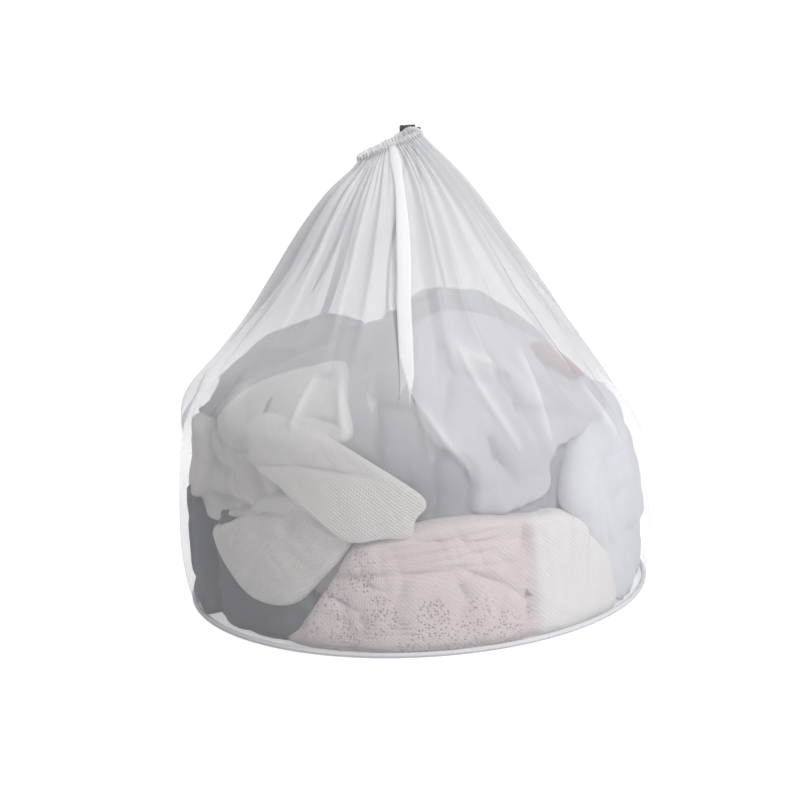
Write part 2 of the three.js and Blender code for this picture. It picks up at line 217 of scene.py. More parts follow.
def wall_point(angle, level, out=0.0):
    """Points of the wall's outer face, moved outwards by out. All three arguments are arrays."""
    centre_x, centre_z, half, depth, slope = wall_frame(level)
    across = half * np.cos(angle)
    x = centre_x + across + out * np.cos(angle)
    y = (depth + out) * np.sin(angle)
    return np.stack([x, y, centre_z + across * slope], axis=-1)


ANGLE_BINS = 180
HEIGHT_BINS = 160


def make_reach_table():
    """The wall's distance from the bag's axis, by angle and height."""
    levels = np.linspace(0, 1, 200)
    heights = np.linspace(0, WALL_RINGS[:, [1, 3]].max(), HEIGHT_BINS)
    table = np.zeros((ANGLE_BINS, HEIGHT_BINS))
    for i in range(ANGLE_BINS):
        points = wall_point(np.full(len(levels), TURN * i / ANGLE_BINS), levels)
        reach = np.hypot(points[:, 0], points[:, 1])
        table[i] = np.interp(heights, points[:, 2], reach)
    return heights, table


REACH_HEIGHTS, REACH_TABLE = make_reach_table()


def wall_reach(angle, height):
    row = (angle % TURN) / TURN * ANGLE_BINS
    low = np.floor(row).astype(int)
    share = row - low
    column = np.interp(height, REACH_HEIGHTS, np.arange(HEIGHT_BINS))
    left = np.clip(np.floor(column).astype(int), 0, HEIGHT_BINS - 2)
    part = column - left

    def pick(i):
        return REACH_TABLE[i % ANGLE_BINS, left] * (1 - part) + REACH_TABLE[i % ANGLE_BINS, left + 1] * part

    return pick(low) * (1 - share) + pick(low + 1) * share


# The top of the pile of laundry: x and height in mm.
PILE_TOP = [
    (-200, 168), (-175, 186), (-131, 210), (-87, 224), (-52, 246), (0, 245), (33, 250), (66, 246), (84, 228),
    (108, 210), (128, 190), (140, 176), (200, 160),
]
FRONT_ROOM = 30 * MM  # the space that the garments against the front wall take up


def keep_inside(points, clearance, shoulder_clearance):
    """Pulls points back inside the wall and under the pile's top; the folds above the shoulder need room."""
    top = np.interp(points[:, 0], *(np.array(PILE_TOP).T * MM))
    points = points.copy()
    points[:, 2] = np.where(points[:, 2] > top, top + (points[:, 2] - top) * 0.25, points[:, 2])
    angle = np.arctan2(points[:, 1], points[:, 0])
    front = smoothstep(-np.sin(angle), -0.05, 0.35)
    room = clearance + (shoulder_clearance - clearance) * smoothstep(points[:, 2], 0.15, 0.21)
    room = room + FRONT_ROOM * front * smoothstep(points[:, 2], 0.26, 0.2)
    limit = wall_reach(angle, points[:, 2]) - room
    reach = np.hypot(points[:, 0], points[:, 1])
    share = np.minimum(1, limit / np.maximum(reach, 1e-6))
    kept = points.copy()
    kept[:, :2] *= share[:, None]
    return kept


# ------------------------------------------------------------------ materials


def new_material(name, values):
    """A Principled material with the given values on its shader."""
    material = bpy.data.materials.new(name)
    material.use_nodes = True
    nodes = material.node_tree.nodes
    nodes.clear()
    output = nodes.new("ShaderNodeOutputMaterial")
    shader = nodes.new("ShaderNodeBsdfPrincipled")
    material.node_tree.links.new(shader.outputs[0], output.inputs[0])
    for key, value in values.items():
        shader.inputs[key].default_value = value
    return material, material.node_tree, shader


def add_node(tree, kind, inputs=None, **settings):
    node = tree.nodes.new(kind)
    for key, value in settings.items():
        setattr(node, key, value)
    for key, value in (inputs or {}).items():
        if isinstance(value, bpy.types.NodeSocket):
            tree.links.new(value, node.inputs[key])
        else:
            node.inputs[key].default_value = value
    return node


def math_node(tree, operation, *values):
    node = tree.nodes.new("ShaderNodeMath")
    node.operation = operation
    for socket, value in zip(node.inputs, values):
        if isinstance(value, bpy.types.NodeSocket):
            tree.links.new(value, socket)
        else:
            socket.default_value = value
    return node.outputs[0]


def place(tree, source, scale=(1, 1, 1)):
    """Texture coordinates in metres: Object for a lump, UV for cloth with its own layout."""
    coordinates = add_node(tree, "ShaderNodeTexCoord")
    inputs = {"Vector": coordinates.outputs[source], "Scale": scale}
    return add_node(tree, "ShaderNodeMapping", inputs).outputs[0]


def add_bump(tree, shader, height, strength, distance):
    bump = add_node(tree, "ShaderNodeBump", {"Height": height, "Strength": strength, "Distance": distance})
    tree.links.new(bump.outputs[0], shader.inputs["Normal"])


def mix_colours(tree, share, first, second):
    ramp = add_node(tree, "ShaderNodeValToRGB", {"Fac": share})
    ramp.color_ramp.elements[0].color = (*first, 1)
    ramp.color_ramp.elements[1].color = (*second, 1)
    return ramp.outputs[0]


def blend_colours(tree, share, base, over):
    """Lays a plain colour over another colour's socket."""
    mixer = tree.nodes.new("ShaderNodeMix")
    mixer.data_type = "RGBA"
    tree.links.new(share, mixer.inputs[0])
    tree.links.new(base, mixer.inputs[6])
    mixer.inputs[7].default_value = over
    return mixer.outputs[2]


WAVE_BANDS = 20  # a band Wave texture of scale 1 has this many radians to the metre


def cloth_material(name, light, dark, thread=1.6 * MM, source="Object", rib=0.0, fuzz=0.35):
    """Woven or knitted cloth: two close colours in random blotches, a thread pattern, and ribs if rib gives
    their pitch, with painted shade in the ribs' grooves and their crests painted lighter.
    """
    values = {"Roughness": 0.92, "Sheen Weight": fuzz, "Sheen Roughness": 0.6, "Specular IOR Level": 0.2}
    material, tree, shader = new_material(name, values)
    where = place(tree, source)
    blotches = add_node(tree, "ShaderNodeTexNoise", {"Vector": where, "Scale": 22.0, "Detail": 4.0})
    threads = add_node(tree, "ShaderNodeTexVoronoi", {"Vector": where, "Scale": 1 / thread})
    bumps = threads.outputs["Distance"]
    tone_and_rib_shade = blotches.outputs[0]
    if rib:
        scale = TURN / (WAVE_BANDS * rib)
        inputs = {"Vector": where, "Scale": scale, "Distortion": 0.4, "Detail": 1.0}
        wave = add_node(tree, "ShaderNodeTexWave", inputs, wave_profile="SIN").outputs["Fac"]
        bumps = math_node(tree, "ADD", math_node(tree, "MULTIPLY", wave, 2.0), bumps)
        # Painted shade: the wave that raises the ribs in the bump also darkens the colour in their grooves
        # and lightens it on their crests.
        tone_and_rib_shade = math_node(tree, "MULTIPLY_ADD", wave, 0.35, math_node(tree, "MULTIPLY", tone_and_rib_shade, 0.65))
    tree.links.new(mix_colours(tree, tone_and_rib_shade, dark, light), shader.inputs["Base Color"])
    add_bump(tree, shader, bumps, 0.5, 0.6 * MM)
    return material


# Middles of the leaf-shaped groups of eyelets in the lace knit: angle round the bag, height in mm.
LEAVES = [
    (243, 25), (250, 46), (257, 68), (261, 32), (273, 30),
    (284, 27), (291, 14), (252, 14), (268, 6), (279, 8),
]
LEAF_RADIUS = 12.5 * MM
LEAF_FLATNESS = 0.72
LACE_EDGE = 297  # the lace pattern ends at this angle, and plain knit goes on


def lace_material():
    """A pale pink lace knit: fine stitches, with leaf-shaped groups of eyelets whose holes are painted dark,
    a painted shade for the depth seen through them.
    """
    values = {"Roughness": 0.95, "Sheen Weight": 0.4, "Specular IOR Level": 0.15}
    material, tree, shader = new_material("pink_lace_knit", values)
    where = place(tree, "UV")
    flattened = place(tree, "UV", scale=(1, LEAF_FLATNESS, 1))
    nearest = None
    for angle, height in LEAVES:
        middle = (math.radians(angle) * PRESSED_RADIUS, height * MM * LEAF_FLATNESS, 0)
        distance = add_node(tree, "ShaderNodeVectorMath", {0: flattened, 1: middle}, operation="DISTANCE")
        away = distance.outputs["Value"]
        nearest = away if nearest is None else math_node(tree, "MINIMUM", nearest, away)
    leaf = math_node(tree, "LESS_THAN", nearest, LEAF_RADIUS)
    holes = add_node(tree, "ShaderNodeTexVoronoi", {"Vector": where, "Scale": 400.0, "Randomness": 0.55})
    eyelet_holes_painted_dark = math_node(tree, "MULTIPLY", math_node(tree, "LESS_THAN", holes.outputs["Distance"], 0.30), leaf)
    inputs = {"Vector": where, "Scale": 150.0, "Distortion": 2.0}
    stitch = add_node(tree, "ShaderNodeTexWave", inputs, bands_direction="DIAGONAL")
    blotches = add_node(tree, "ShaderNodeTexNoise", {"Vector": where, "Scale": 30.0, "Detail": 3.0})
    base = mix_colours(tree, blotches.outputs[0], (0.72, 0.58, 0.555), (0.88, 0.78, 0.755))
    across = add_node(tree, "ShaderNodeSeparateXYZ", {"Vector": where}).outputs[0]
    edge = math.radians(LACE_EDGE) * PRESSED_RADIUS
    inputs = {"Value": across, "From Min": edge - 4 * MM, "From Max": edge + 10 * MM}
    plain = add_node(tree, "ShaderNodeMapRange", inputs).outputs[0]
    paler = blend_colours(tree, plain, base, (0.90, 0.865, 0.845, 1))
    # Painted shade: the eyelet holes are not cut; their colour is painted dark to stand in for the shade seen
    # through them.
    tree.links.new(blend_colours(tree, eyelet_holes_painted_dark, paler, (0.26, 0.16, 0.15, 1)), shader.inputs["Base Color"])
    height = math_node(tree, "SUBTRACT", math_node(tree, "MULTIPLY", stitch.outputs["Fac"], 0.22), eyelet_holes_painted_dark)
    add_bump(tree, shader, height, 0.8, 1.2 * MM)
    return material


MESH_PITCH = 1.9 * MM
DOUBLED_COVER = 0.45  # how much of the open part is hidden where the cloth lies double
GATHER_STARTS, GATHER_ENDS = 0.34, 0.60  # shares of the wall's height between which the cover grows


def crossed_waves(tree, where, per_metre):
    """Two sets of diagonal sine waves over the cloth, and the cloth's own two coordinates."""
    split = add_node(tree, "ShaderNodeSeparateXYZ", {"Vector": where})
    lines = [math_node(tree, kind, split.outputs[0], split.outputs[1]) for kind in ("ADD", "SUBTRACT")]
    return [math_node(tree, "SINE", math_node(tree, "MULTIPLY", line, per_metre)) for line in lines], split


def sheer_material(name, cover, gathered_cover, colour):
    """Fine knitted mesh. Its threads hide more of what is behind it where it is gathered, high up, and where
    the wall's second UV map says that the cloth lies double, and on the shoulder folds' crests; there its
    colour is also painted near white, a painted highlight."""
    values = {"Roughness": 0.55, "Sheen Weight": 0.25, "Specular IOR Level": 0.3}
    material, tree, shader = new_material(name, values)
    where = place(tree, "UV")
    waves, split = crossed_waves(tree, where, TURN / MESH_PITCH)
    holes = math_node(tree, "MULTIPLY", *waves)
    open_part = add_node(
        tree,
        "ShaderNodeMapRange",
        {
            "Value": split.outputs[1],
            "From Min": GATHER_STARTS * CLOTH_HEIGHT,
            "From Max": GATHER_ENDS * CLOTH_HEIGHT,
            "To Min": 1 - cover,
            "To Max": 1 - gathered_cover,
        },
    ).outputs[0]
    doubled = add_node(tree, "ShaderNodeUVMap", uv_map="doubled").outputs[0]
    doubled = add_node(tree, "ShaderNodeSeparateXYZ", {"Vector": doubled}).outputs[0]
    left_open = math_node(tree, "SUBTRACT", 1.0, math_node(tree, "MULTIPLY", doubled, DOUBLED_COVER))
    open_part = math_node(tree, "MULTIPLY", open_part, left_open)
    alpha = math_node(tree, "SUBTRACT", 1.0, open_part)
    alpha = math_node(tree, "ADD", alpha, math_node(tree, "MULTIPLY", holes, 0.05))
    tree.links.new(alpha, shader.inputs["Alpha"])
    cloud = add_node(tree, "ShaderNodeTexNoise", {"Vector": where, "Scale": 9.0, "Detail": 3.0})
    darker = tuple(value * 0.93 for value in colour)
    single = mix_colours(tree, cloud.outputs[0], darker, colour)
    # Painted highlight: where the cloth lies double and on the shoulder folds' crests the colour is blended
    # towards near white.
    tree.links.new(blend_colours(tree, doubled, single, (0.97, 0.97, 0.97, 1)), shader.inputs["Base Color"])
    add_bump(tree, shader, holes, 0.25, 0.2 * MM)
    return material


BRAID_WAVES = 2600.0  # radians to the metre


def cord_material():
    """White braided polyester: two sets of strands that cross, with painted shade in the gaps between the
    strands.
    """
    material, tree, shader = new_material("braided_cord", {"Roughness": 0.75, "Sheen Weight": 0.2})
    waves, _ = crossed_waves(tree, place(tree, "UV"), BRAID_WAVES)
    braid_and_gap_shade = math_node(tree, "MAXIMUM", *waves)
    # Painted shade: the pattern that raises the strands in the bump also darkens the colour in the gaps
    # between them.
    colour = mix_colours(tree, braid_and_gap_shade, (0.62, 0.62, 0.62), (0.86, 0.86, 0.86))
    tree.links.new(colour, shader.inputs["Base Color"])
    add_bump(tree, shader, braid_and_gap_shade, 0.6, 0.4 * MM)
    return material


def lock_material():
    """Black moulded nylon with a fine spark-eroded grain."""
    material, tree, shader = new_material("black_nylon", {})
    where = place(tree, "Object")
    grain = add_node(tree, "ShaderNodeTexNoise", {"Vector": where, "Scale": 2600.0, "Detail": 2.0})
    colour = mix_colours(tree, grain.outputs[0], (0.008, 0.008, 0.009), (0.022, 0.022, 0.025))
    tree.links.new(colour, shader.inputs["Base Color"])
    rough = add_node(tree, "ShaderNodeMapRange", {"Value": grain.outputs[0], "To Min": 0.32, "To Max": 0.55})
    tree.links.new(rough.outputs[0], shader.inputs["Roughness"])
    add_bump(tree, shader, grain.outputs[0], 0.15, 0.2 * MM)
    return material


def steel_material():
    material, tree, shader = new_material("spring_wire", {"Metallic": 1.0, "Roughness": 0.28})
    where = place(tree, "Object")
    grain = add_node(tree, "ShaderNodeTexNoise", {"Vector": where, "Scale": 3000.0})
    colour = mix_colours(tree, grain.outputs[0], (0.5, 0.51, 0.53), (0.68, 0.69, 0.7))
    tree.links.new(colour, shader.inputs["Base Color"])
    return material


# ------------------------------------------------------------------ cords

CORD_RADIUS = 1.5 * MM
# The loose ends: way points in mm from the cord lock to the knot.
LEFT_TAIL_MM = [
    (9.5, 52, 381.5), (7.5, 61, 371), (5, 68.5, 355), (1.5, 75.5, 337), (-2, 83.5, 318), (-8, 99.5, 294.8),
    (-13, 119, 268), (-16, 140.2, 238.8), (-18.5, 162.2, 209.4), (-20.5, 180.7, 184), (-21.5, 192.8, 162),
    (-21.5, 199.8, 138.5), (-20.5, 204.4, 109.5), (-18.5, 206.8, 80), (-16, 207.4, 50), (-13, 206.8, 26),
    (-12.5, 206.2, 13), (-16, 208, 4.5), (-26, 212, 1.7), (-40, 214, 1.7), (-56, 211.5, 1.7),
]
RIGHT_TAIL_MM = [
    (13.5, 52, 382.8), (16, 62, 372.5), (18.5, 70, 357), (21, 76, 339), (24, 81, 318), (29, 97.3, 293),
    (34, 115.8, 266.3), (39, 135.5, 237), (41.8, 156, 208), (43, 174.4, 182.2), (43.5, 187.2, 161),
    (42.2, 195.6, 138), (40, 201.3, 109.4), (37.4, 204.5, 80), (35.5, 205.6, 50), (35.2, 205, 26),
    (36, 204.8, 13), (40, 206.4, 4.5), (50, 209, 1.7), (64, 208, 1.7), (79, 203, 1.7),
]

LOCK_CENTRE = np.array([11.6, 24.1, 391.6]) * MM
LOCK_TILT = math.radians(15)
LOCK_RUN = np.array([0, math.cos(LOCK_TILT), -math.sin(LOCK_TILT)])
LOCK_UP = np.array([0, math.sin(LOCK_TILT), math.cos(LOCK_TILT)])
CORD_SPACING = 3.4 * MM
STRAIGHT = (-7.5 * MM, 0.0, 10.25 * MM, 20.5 * MM)

# The mouth ring, as in the CAD casing.
MOUTH_LEFT = np.array([-31, 0, 372.5]) * MM
MOUTH_RIGHT = np.array([19, 0, 391.5]) * MM
MOUTH_CENTRE = (MOUTH_LEFT + MOUTH_RIGHT) / 2
MOUTH_AXIS = (MOUTH_RIGHT - MOUTH_LEFT) / 2
MOUTH_HALF_DEPTH = 9 * MM
EXIT_ANGLE = math.radians(42)
EXIT_RISE = math.radians(37)
EXIT_HALF_SPACING = 2.7 * MM
EXIT_REACH = 6.6 * MM


def mouth_point(angle):
    angle = np.asarray(angle, float)
    x = MOUTH_CENTRE[0] + MOUTH_AXIS[0] * np.cos(angle)
    y = MOUTH_HALF_DEPTH * np.sin(angle)
    z = MOUTH_CENTRE[2] + MOUTH_AXIS[2] * np.cos(angle)
    return np.stack([x, y, z], axis=-1)


def exit_frame():
    centre = mouth_point(EXIT_ANGLE)
    along = mouth_point(EXIT_ANGLE + 0.01) - mouth_point(EXIT_ANGLE - 0.01)
    along /= np.linalg.norm(along)
    out = np.array([0, math.cos(EXIT_RISE), math.sin(EXIT_RISE)])
    out -= along * out.dot(along)
    return centre, along, out / np.linalg.norm(out)


EXIT_CENTRE, EXIT_ALONG, EXIT_OUT = exit_frame()


def exit_place(along, out):
    return EXIT_CENTRE + EXIT_ALONG * along + EXIT_OUT * out


def smooth_path(points, step):
    """A centripetal Catmull-Rom curve through the points, at even steps."""
    points = np.asarray(points, float)
    padded = np.vstack([2 * points[0] - points[1], points, 2 * points[-1] - points[-2]])
    knots = np.concatenate([[0], np.cumsum(np.sqrt(np.linalg.norm(np.diff(padded, axis=0), axis=1)))])
    pieces = []
    for i in range(1, len(padded) - 2):
        t0, t1, t2, t3 = knots[i - 1 : i + 3]
        t = np.linspace(t1, t2, 24, endpoint=False)[:, None]
        p0, p1, p2, p3 = padded[i - 1 : i + 3]
        a1 = (t1 - t) / (t1 - t0) * p0 + (t - t0) / (t1 - t0) * p1
        a2 = (t2 - t) / (t2 - t1) * p1 + (t - t1) / (t2 - t1) * p2
        a3 = (t3 - t) / (t3 - t2) * p2 + (t - t2) / (t3 - t2) * p3
        b1 = (t2 - t) / (t2 - t0) * a1 + (t - t0) / (t2 - t0) * a2
        b2 = (t3 - t) / (t3 - t1) * a2 + (t - t1) / (t3 - t1) * a3
        pieces.append((t2 - t) / (t2 - t1) * b1 + (t - t1) / (t2 - t1) * b2)
    curve = np.vstack([*pieces, points[-1:]])
    lengths = np.concatenate([[0], np.cumsum(np.linalg.norm(np.diff(curve, axis=0), axis=1))])
    at = np.linspace(0, lengths[-1], max(2, round(lengths[-1] / step)) + 1)
    return np.stack([np.interp(at, lengths, curve[:, k]) for k in range(3)], axis=-1), lengths[-1]


def tube(name, path, radius, sides, material, cap=True):
    """A round tube along a path, its frame carried along without twist, with cloth coordinates."""
    path = np.asarray(path)
    tangents = np.gradient(path, axis=0)
    tangents /= np.linalg.norm(tangents, axis=1)[:, None]
    normal = np.cross(tangents[0], (0.3, 0.2, 0.9))
    rings = []
    turns = np.arange(sides) / sides * TURN
    for point, tangent in zip(path, tangents):
        normal = normal - tangent * normal.dot(tangent)
        normal /= np.linalg.norm(normal)
        side = np.cross(tangent, normal)
        rings.append(point + radius * (np.cos(turns)[:, None] * normal + np.sin(turns)[:, None] * side))
    faces = grid_faces(len(path), sides, closed_columns=True).tolist()
    if cap:
        faces += cap_faces(len(path), sides)
    lengths = np.concatenate([[0], np.cumsum(np.linalg.norm(np.diff(path, axis=0), axis=1))])
    u = np.tile(turns * radius, len(path))
    v = np.repeat(lengths, sides)
    return new_object(name, np.vstack(rings), faces, material, uv=np.stack([u, v], axis=-1))


def tail_path(side, route):
    up = -side * CORD_SPACING / 2
    points = [
        exit_place(side * EXIT_HALF_SPACING, EXIT_REACH + 0.15 * MM),
        exit_place(side * EXIT_HALF_SPACING, EXIT_REACH + 1.5 * MM),
        *[LOCK_CENTRE + LOCK_RUN * along + LOCK_UP * up for along in STRAIGHT],
        *[np.array(point) * MM for point in route],
    ]
    return smooth_path(points, 2.0 * MM)


def overhand_knot(name, end, along, material):
    """A small tight knot: a trefoil of cord, pulled flat."""
    turns = np.linspace(0, TURN, 90, endpoint=False)
    x = np.sin(turns) + 2 * np.sin(2 * turns)
    y = np.cos(turns) - 2 * np.cos(2 * turns)
    loop = np.stack([x, y, -np.sin(3 * turns)], axis=-1)
    size = 0.78 * MM
    along = np.asarray(along) / np.linalg.norm(along)
    side = np.cross(along, (0, 0, 1.0))
    side /= np.linalg.norm(side)
    basis = np.stack([along * 1.15, side, np.array([0, 0, 1.15])])
    middle = end + along * 4.2 * MM
    middle[2] = 3.4 * MM
    path = middle + (loop * size) @ basis
    path = np.vstack([path, path[:1]])
    return tube(name, path, CORD_RADIUS * 0.8, 10, material)


# ------------------------------------------------------------------ the mesh wall and its folds

# Ridges of cloth that run down from the mouth, going round from the right by the back: the angle at the
# top, half way down and at the shoulder; the height in mm where the ridge fades out; how wide its crest
# is; how far it leans over its neighbour; and how deep the valleys beside it are.
RIDGES = [
    (10, 10, 9, 205, 0.35, 0.3, 1.1),
    (26, 28, 30, 180, 0.5, -0.2, 1.2),
    (42, 44, 45, 225, 0.3, 0.2, 0.9),
    (57, 60, 62, 190, 0.6, 0.3, 1.3),
    (72, 76, 78, 215, 0.3, -0.3, 0.9),
    (88, 92, 96, 170, 0.5, 0.4, 1.2),
    (104, 108, 112, 205, 0.4, 0.0, 1.1),
    (121, 125, 129, 185, 0.3, 0.3, 1.2),
    (139, 143, 146, 215, 0.5, -0.3, 1.0),
    (156, 160, 163, 190, 0.35, 0.3, 1.0),
    (174, 178, 179, 205, 0.5, 0.2, 0.8),
    (192, 195, 192, 182, 0.4, -0.4, 0.7),
    (210, 208, 204, 178, 0.35, -0.45, 0.6),
    (224, 222, 221, 200, 0.3, 0.15, 0.3),
    (236, 234, 233, 265, 0.6, 0.2, 0.12),
    (247, 245, 244, 202, 0.25, 0.15, 0.28),
    (258, 256, 254, 226, 0.4, 0.1, 0.22),
    (273, 270.5, 271.5, 184, 1.0, 0.0, 0.8),
    (287, 284, 285, 222, 0.4, 0.1, 0.4),
    (297, 292, 296, 158, 0.2, 0.3, 0.6),
    (307, 304, 308, 262, 0.5, 0.1, 0.3),
    (316, 316, 325, 140, 0.1, 0.5, 1.0),
    (329, 331, 341, 184, 0.14, 0.35, 0.8),
    (346, 348, 353, 218, 0.35, -0.2, 0.7),
]
PLEAT = 17  # the ridge at the front that is pressed flat
PLEAT_WIDTH = 11 * MM
RIDGE_HEIGHTS = (350 * MM, 265 * MM, 190 * MM)  # where the three angles of each ridge hold
COLUMNS_PER_RIDGE = 20
COLUMNS_IN_PLEAT = 52
WALL_ROWS = 150


def fold_depth(height):
    """How deep the valleys between the ridges are at a height, before each ridge's own share."""
    heights = np.array([140, 185, 220, 260, 300, 335, 360, 385, 400]) * MM
    depths = np.array([0, 4.0, 9.0, 13.0, 15.0, 13.0, 7.0, 2.0, 1.5]) * MM
    return np.interp(height, heights, depths)


# Soft folds at the shoulder, where the slack cloth hangs over the laundry: a line from (angle, height in mm)
# to (angle, height in mm), how far it stands out in mm and its width in mm.
SHOULDER_FOLDS = [
    (287, 232, 297, 150, 7.0, 4),
    (299, 228, 302, 156, -6.0, 6),
    (309, 226, 305, 150, 6.0, 4.5),
    (286, 232, 304, 204, 4.5, 3.5),
    (283, 208, 279, 180, -4.0, 4),
    (274, 196, 284, 138, 5.5, 3.5),
    (262, 215, 264, 170, -3.6, 7),
    (252, 212, 256, 168, 3.6, 4),
    (244, 214, 241, 176, 4.0, 4),
    (318, 208, 322, 160, -5.0, 6),
    (326, 200, 331, 140, 5.5, 4),
    (338, 190, 340, 136, -4.5, 7),
    (208, 208, 198, 158, 6.5, 4),
    (217, 208, 209, 165, -5.0, 5),
    (196, 200, 188, 156, -5.0, 7),
    (224, 206, 218, 180, 4.0, 4),
    (345, 185, 352, 120, 5.0, 7),
    (15, 195, 20, 130, -6.0, 8),
    (27, 200, 25, 140, 5.0, 5),
    (42, 190, 36, 120, 6.0, 6),
    (58, 200, 62, 135, -5.0, 7),
    (74, 205, 78, 130, 6.0, 5),
    (88, 200, 86, 140, -5.5, 7),
    (101, 195, 94, 115, 6.0, 6),
    (128, 200, 134, 130, -6.0, 8),
    (140, 200, 141, 140, 5.5, 5),
    (155, 195, 149, 120, 6.0, 7),
    (172, 200, 176, 125, -5.5, 7),
    (181, 200, 182, 140, 5.0, 5),
]


def line_relief(angle, height, lines):
    """Sums ridges (or valleys, where the number is negative) along lines on the unrolled wall."""
    spot = np.stack([angle * PRESSED_RADIUS, height], axis=-1)
    total = np.zeros(len(spot))
    for a0, h0, a1, h1, rise, wide in lines:
        start = np.array([math.radians(a0) * PRESSED_RADIUS, h0 * MM])
        run = np.array([math.radians(a1) * PRESSED_RADIUS, h1 * MM]) - start
        part = np.clip(((spot - start) @ run) / run.dot(run), 0, 1)
        distance = np.linalg.norm(spot - start - part[:, None] * run, axis=1) / (wide * MM)
        taper = np.sqrt(np.sin(np.clip(part, 0.02, 0.98) * math.pi))
        total += rise * MM * np.exp(0.3 - np.sqrt(distance**2 + 0.09)) * taper
    return total


def ridge_state(level):
    """Each ridge's angle, grip (1 where it is whole, 0 where it has faded) and valley depths at a level."""
    table = np.array(RIDGES)
    guess = np.radians(table[:, 0])
    height = wall_point(guess, np.full(len(guess), level))[:, 2]
    upwards = np.radians(table[:, 2::-1])
    angle = np.array([np.interp(z, RIDGE_HEIGHTS[::-1], row) for z, row in zip(height, upwards)])
    grip = smoothstep(height, table[:, 3] * MM, table[:, 3] * MM + 80 * MM)
    deep = fold_depth(height) * table[:, 6] * grip
    return angle, grip, deep


def ring_phases():
    """For each column of the wall: its ridge's number, and its place across the ridge from -1 to 1."""
    counts = [COLUMNS_IN_PLEAT if i == PLEAT else COLUMNS_PER_RIDGE for i in range(len(RIDGES))]
    number = np.repeat(np.arange(len(RIDGES)), counts)
    across = np.concatenate([(np.arange(count) + 0.5) / count * 2 - 1 for count in counts])
    return number, across


# The pressed pleat's section: place along the cloth, place across in half ridges, the same in half widths
# of the flat band, and depth. The cloth doubles back twice behind the band, so that it lies in five layers.
PLEAT_SECTION = np.array([
    (-1, -1, 0, 1), (-0.55, 0, 0.85, 0.95), (-0.3, 0, -1.0, 0.55), (-0.25, 0, -1.06, 0.3),
    (-0.2, 0, -1.0, 0.05), (-0.05, 0, 0, 0), (0.1, 0, 1.0, 0.05), (0.15, 0, 1.04, 0.15),
    (0.35, 0, -0.8, 0.25), (0.4, 0, -0.8, 0.4), (1, 1, 0, 1),
])


def pressed_pleat(across, half, height):
    band = PLEAT_WIDTH / 2 * (0.55 + 0.45 * smoothstep(height, 0.36, 0.30)) / half
    along, wide, banded, deep = PLEAT_SECTION.T
    x = np.interp(across, along, wide) + band * np.interp(across, along, banded)
    return x, np.interp(across, along, deep)


def wall_sheet(levels):
    """Points of the folded wall, one row for each level, and how far the cloth lies double there, with the
    shoulder folds' crests added, which the mesh paints as a highlight.
    """
    number, across = ring_phases()
    table = np.array(RIDGES)
    crest, lean = table[number, 4], table[number, 5]
    pleat = number == PLEAT
    rows, doubled = [], []
    for level in levels:
        angles, grips, deeps = ridge_state(level)
        after = (np.roll(angles, -1) - angles) % TURN / 2
        before = np.roll(after, 1)
        half = np.where(across < 0, before[number], after[number])
        valley_after = (deeps + np.roll(deeps, -1)) / 2
        valley_before = np.roll(valley_after, 1)
        share = (across + 1) / 2
        valley = valley_before[number] * (1 - share) + valley_after[number] * share
        grip = grips[number]
        depth = 1 - np.exp(-((np.abs(across) / (0.22 + 0.5 * crest)) ** 1.5))
        depth /= 1 - np.exp(-((1 / (0.22 + 0.5 * crest)) ** 1.5))
        centre = angles[number]
        plain = centre + across * half
        here = np.full(len(across), level)
        height = wall_point(plain, here)[:, 2]
        reach = np.hypot(*wall_point(centre, here)[:, :2].T)
        pressed = smoothstep(height, 184 * MM, 222 * MM)
        pleat_x, pleat_depth = pressed_pleat(across, half * np.maximum(reach, 25 * MM), height)
        x = np.where(pleat, across + (pleat_x - across) * pressed, across)
        depth = np.where(pleat, depth + (pleat_depth - depth) * pressed, depth)
        gather = smoothstep(height, 0.322, 0.368)
        angle = centre + x * half + lean * grip * half * (1 - depth) * (1 - gather * 0.6)
        fine = 2.6 * MM * gather * (1 - np.cos(across * TURN)) / 2
        around = np.stack([np.cos(plain) * BASE_RADIUS, np.sin(plain) * BASE_RADIUS, height], axis=-1)
        slack = noise(around, 0.10, 11) * 2.6 * MM + noise(around * [1, 1, 0.4], 0.036, 12) * 1.1 * MM
        slack -= creases(around * [1, 1, 0.5], 0.06, 13) * 1.6 * MM
        slack *= smoothstep(height, 0.008, 0.05) * (1 - gather)
        panel = noise(around * [1, 1, 0.25], 0.05, 14) * 1.5 * MM
        panel *= smoothstep(height, 0.2, 0.26) * (1 - gather)
        folds = line_relief(plain % TURN, height, SHOULDER_FOLDS) * (1 - gather)
        slack = slack + folds
        pleat_share = (0.33 * smoothstep(height, 0.188, 0.25) - np.abs(across - 0.02)) / 0.03
        pleat_share = np.where(pleat, np.clip(pleat_share, 0, 1), 0)
        # The shoulder folds' crests join the double-layer share, so the mesh paints them near white: a
        # painted highlight.
        doubled.append(np.maximum(pleat_share, np.clip(folds / (9 * MM), 0, 0.5)))
        free = smoothstep(height, 0.12, 0.17)
        slack = np.clip(slack, (-2.2 - 3.0 * free) * MM, (2.6 + 5.0 * free) * MM)
        out = valley * 0.18 - depth * valley - fine + slack + panel - 0.3 * MM
        rows.append(wall_point(angle, here, out))
    return np.stack(rows), np.stack(doubled)


HEM_HALF_HEIGHT = 5.0 * MM
HEM_HALF_THICKNESS = 3.2 * MM
HEM_PLEAT = 1.1 * MM
HEM_BLEND_LEVEL = 0.95  # the wall's pleats turn into the hem's above this level


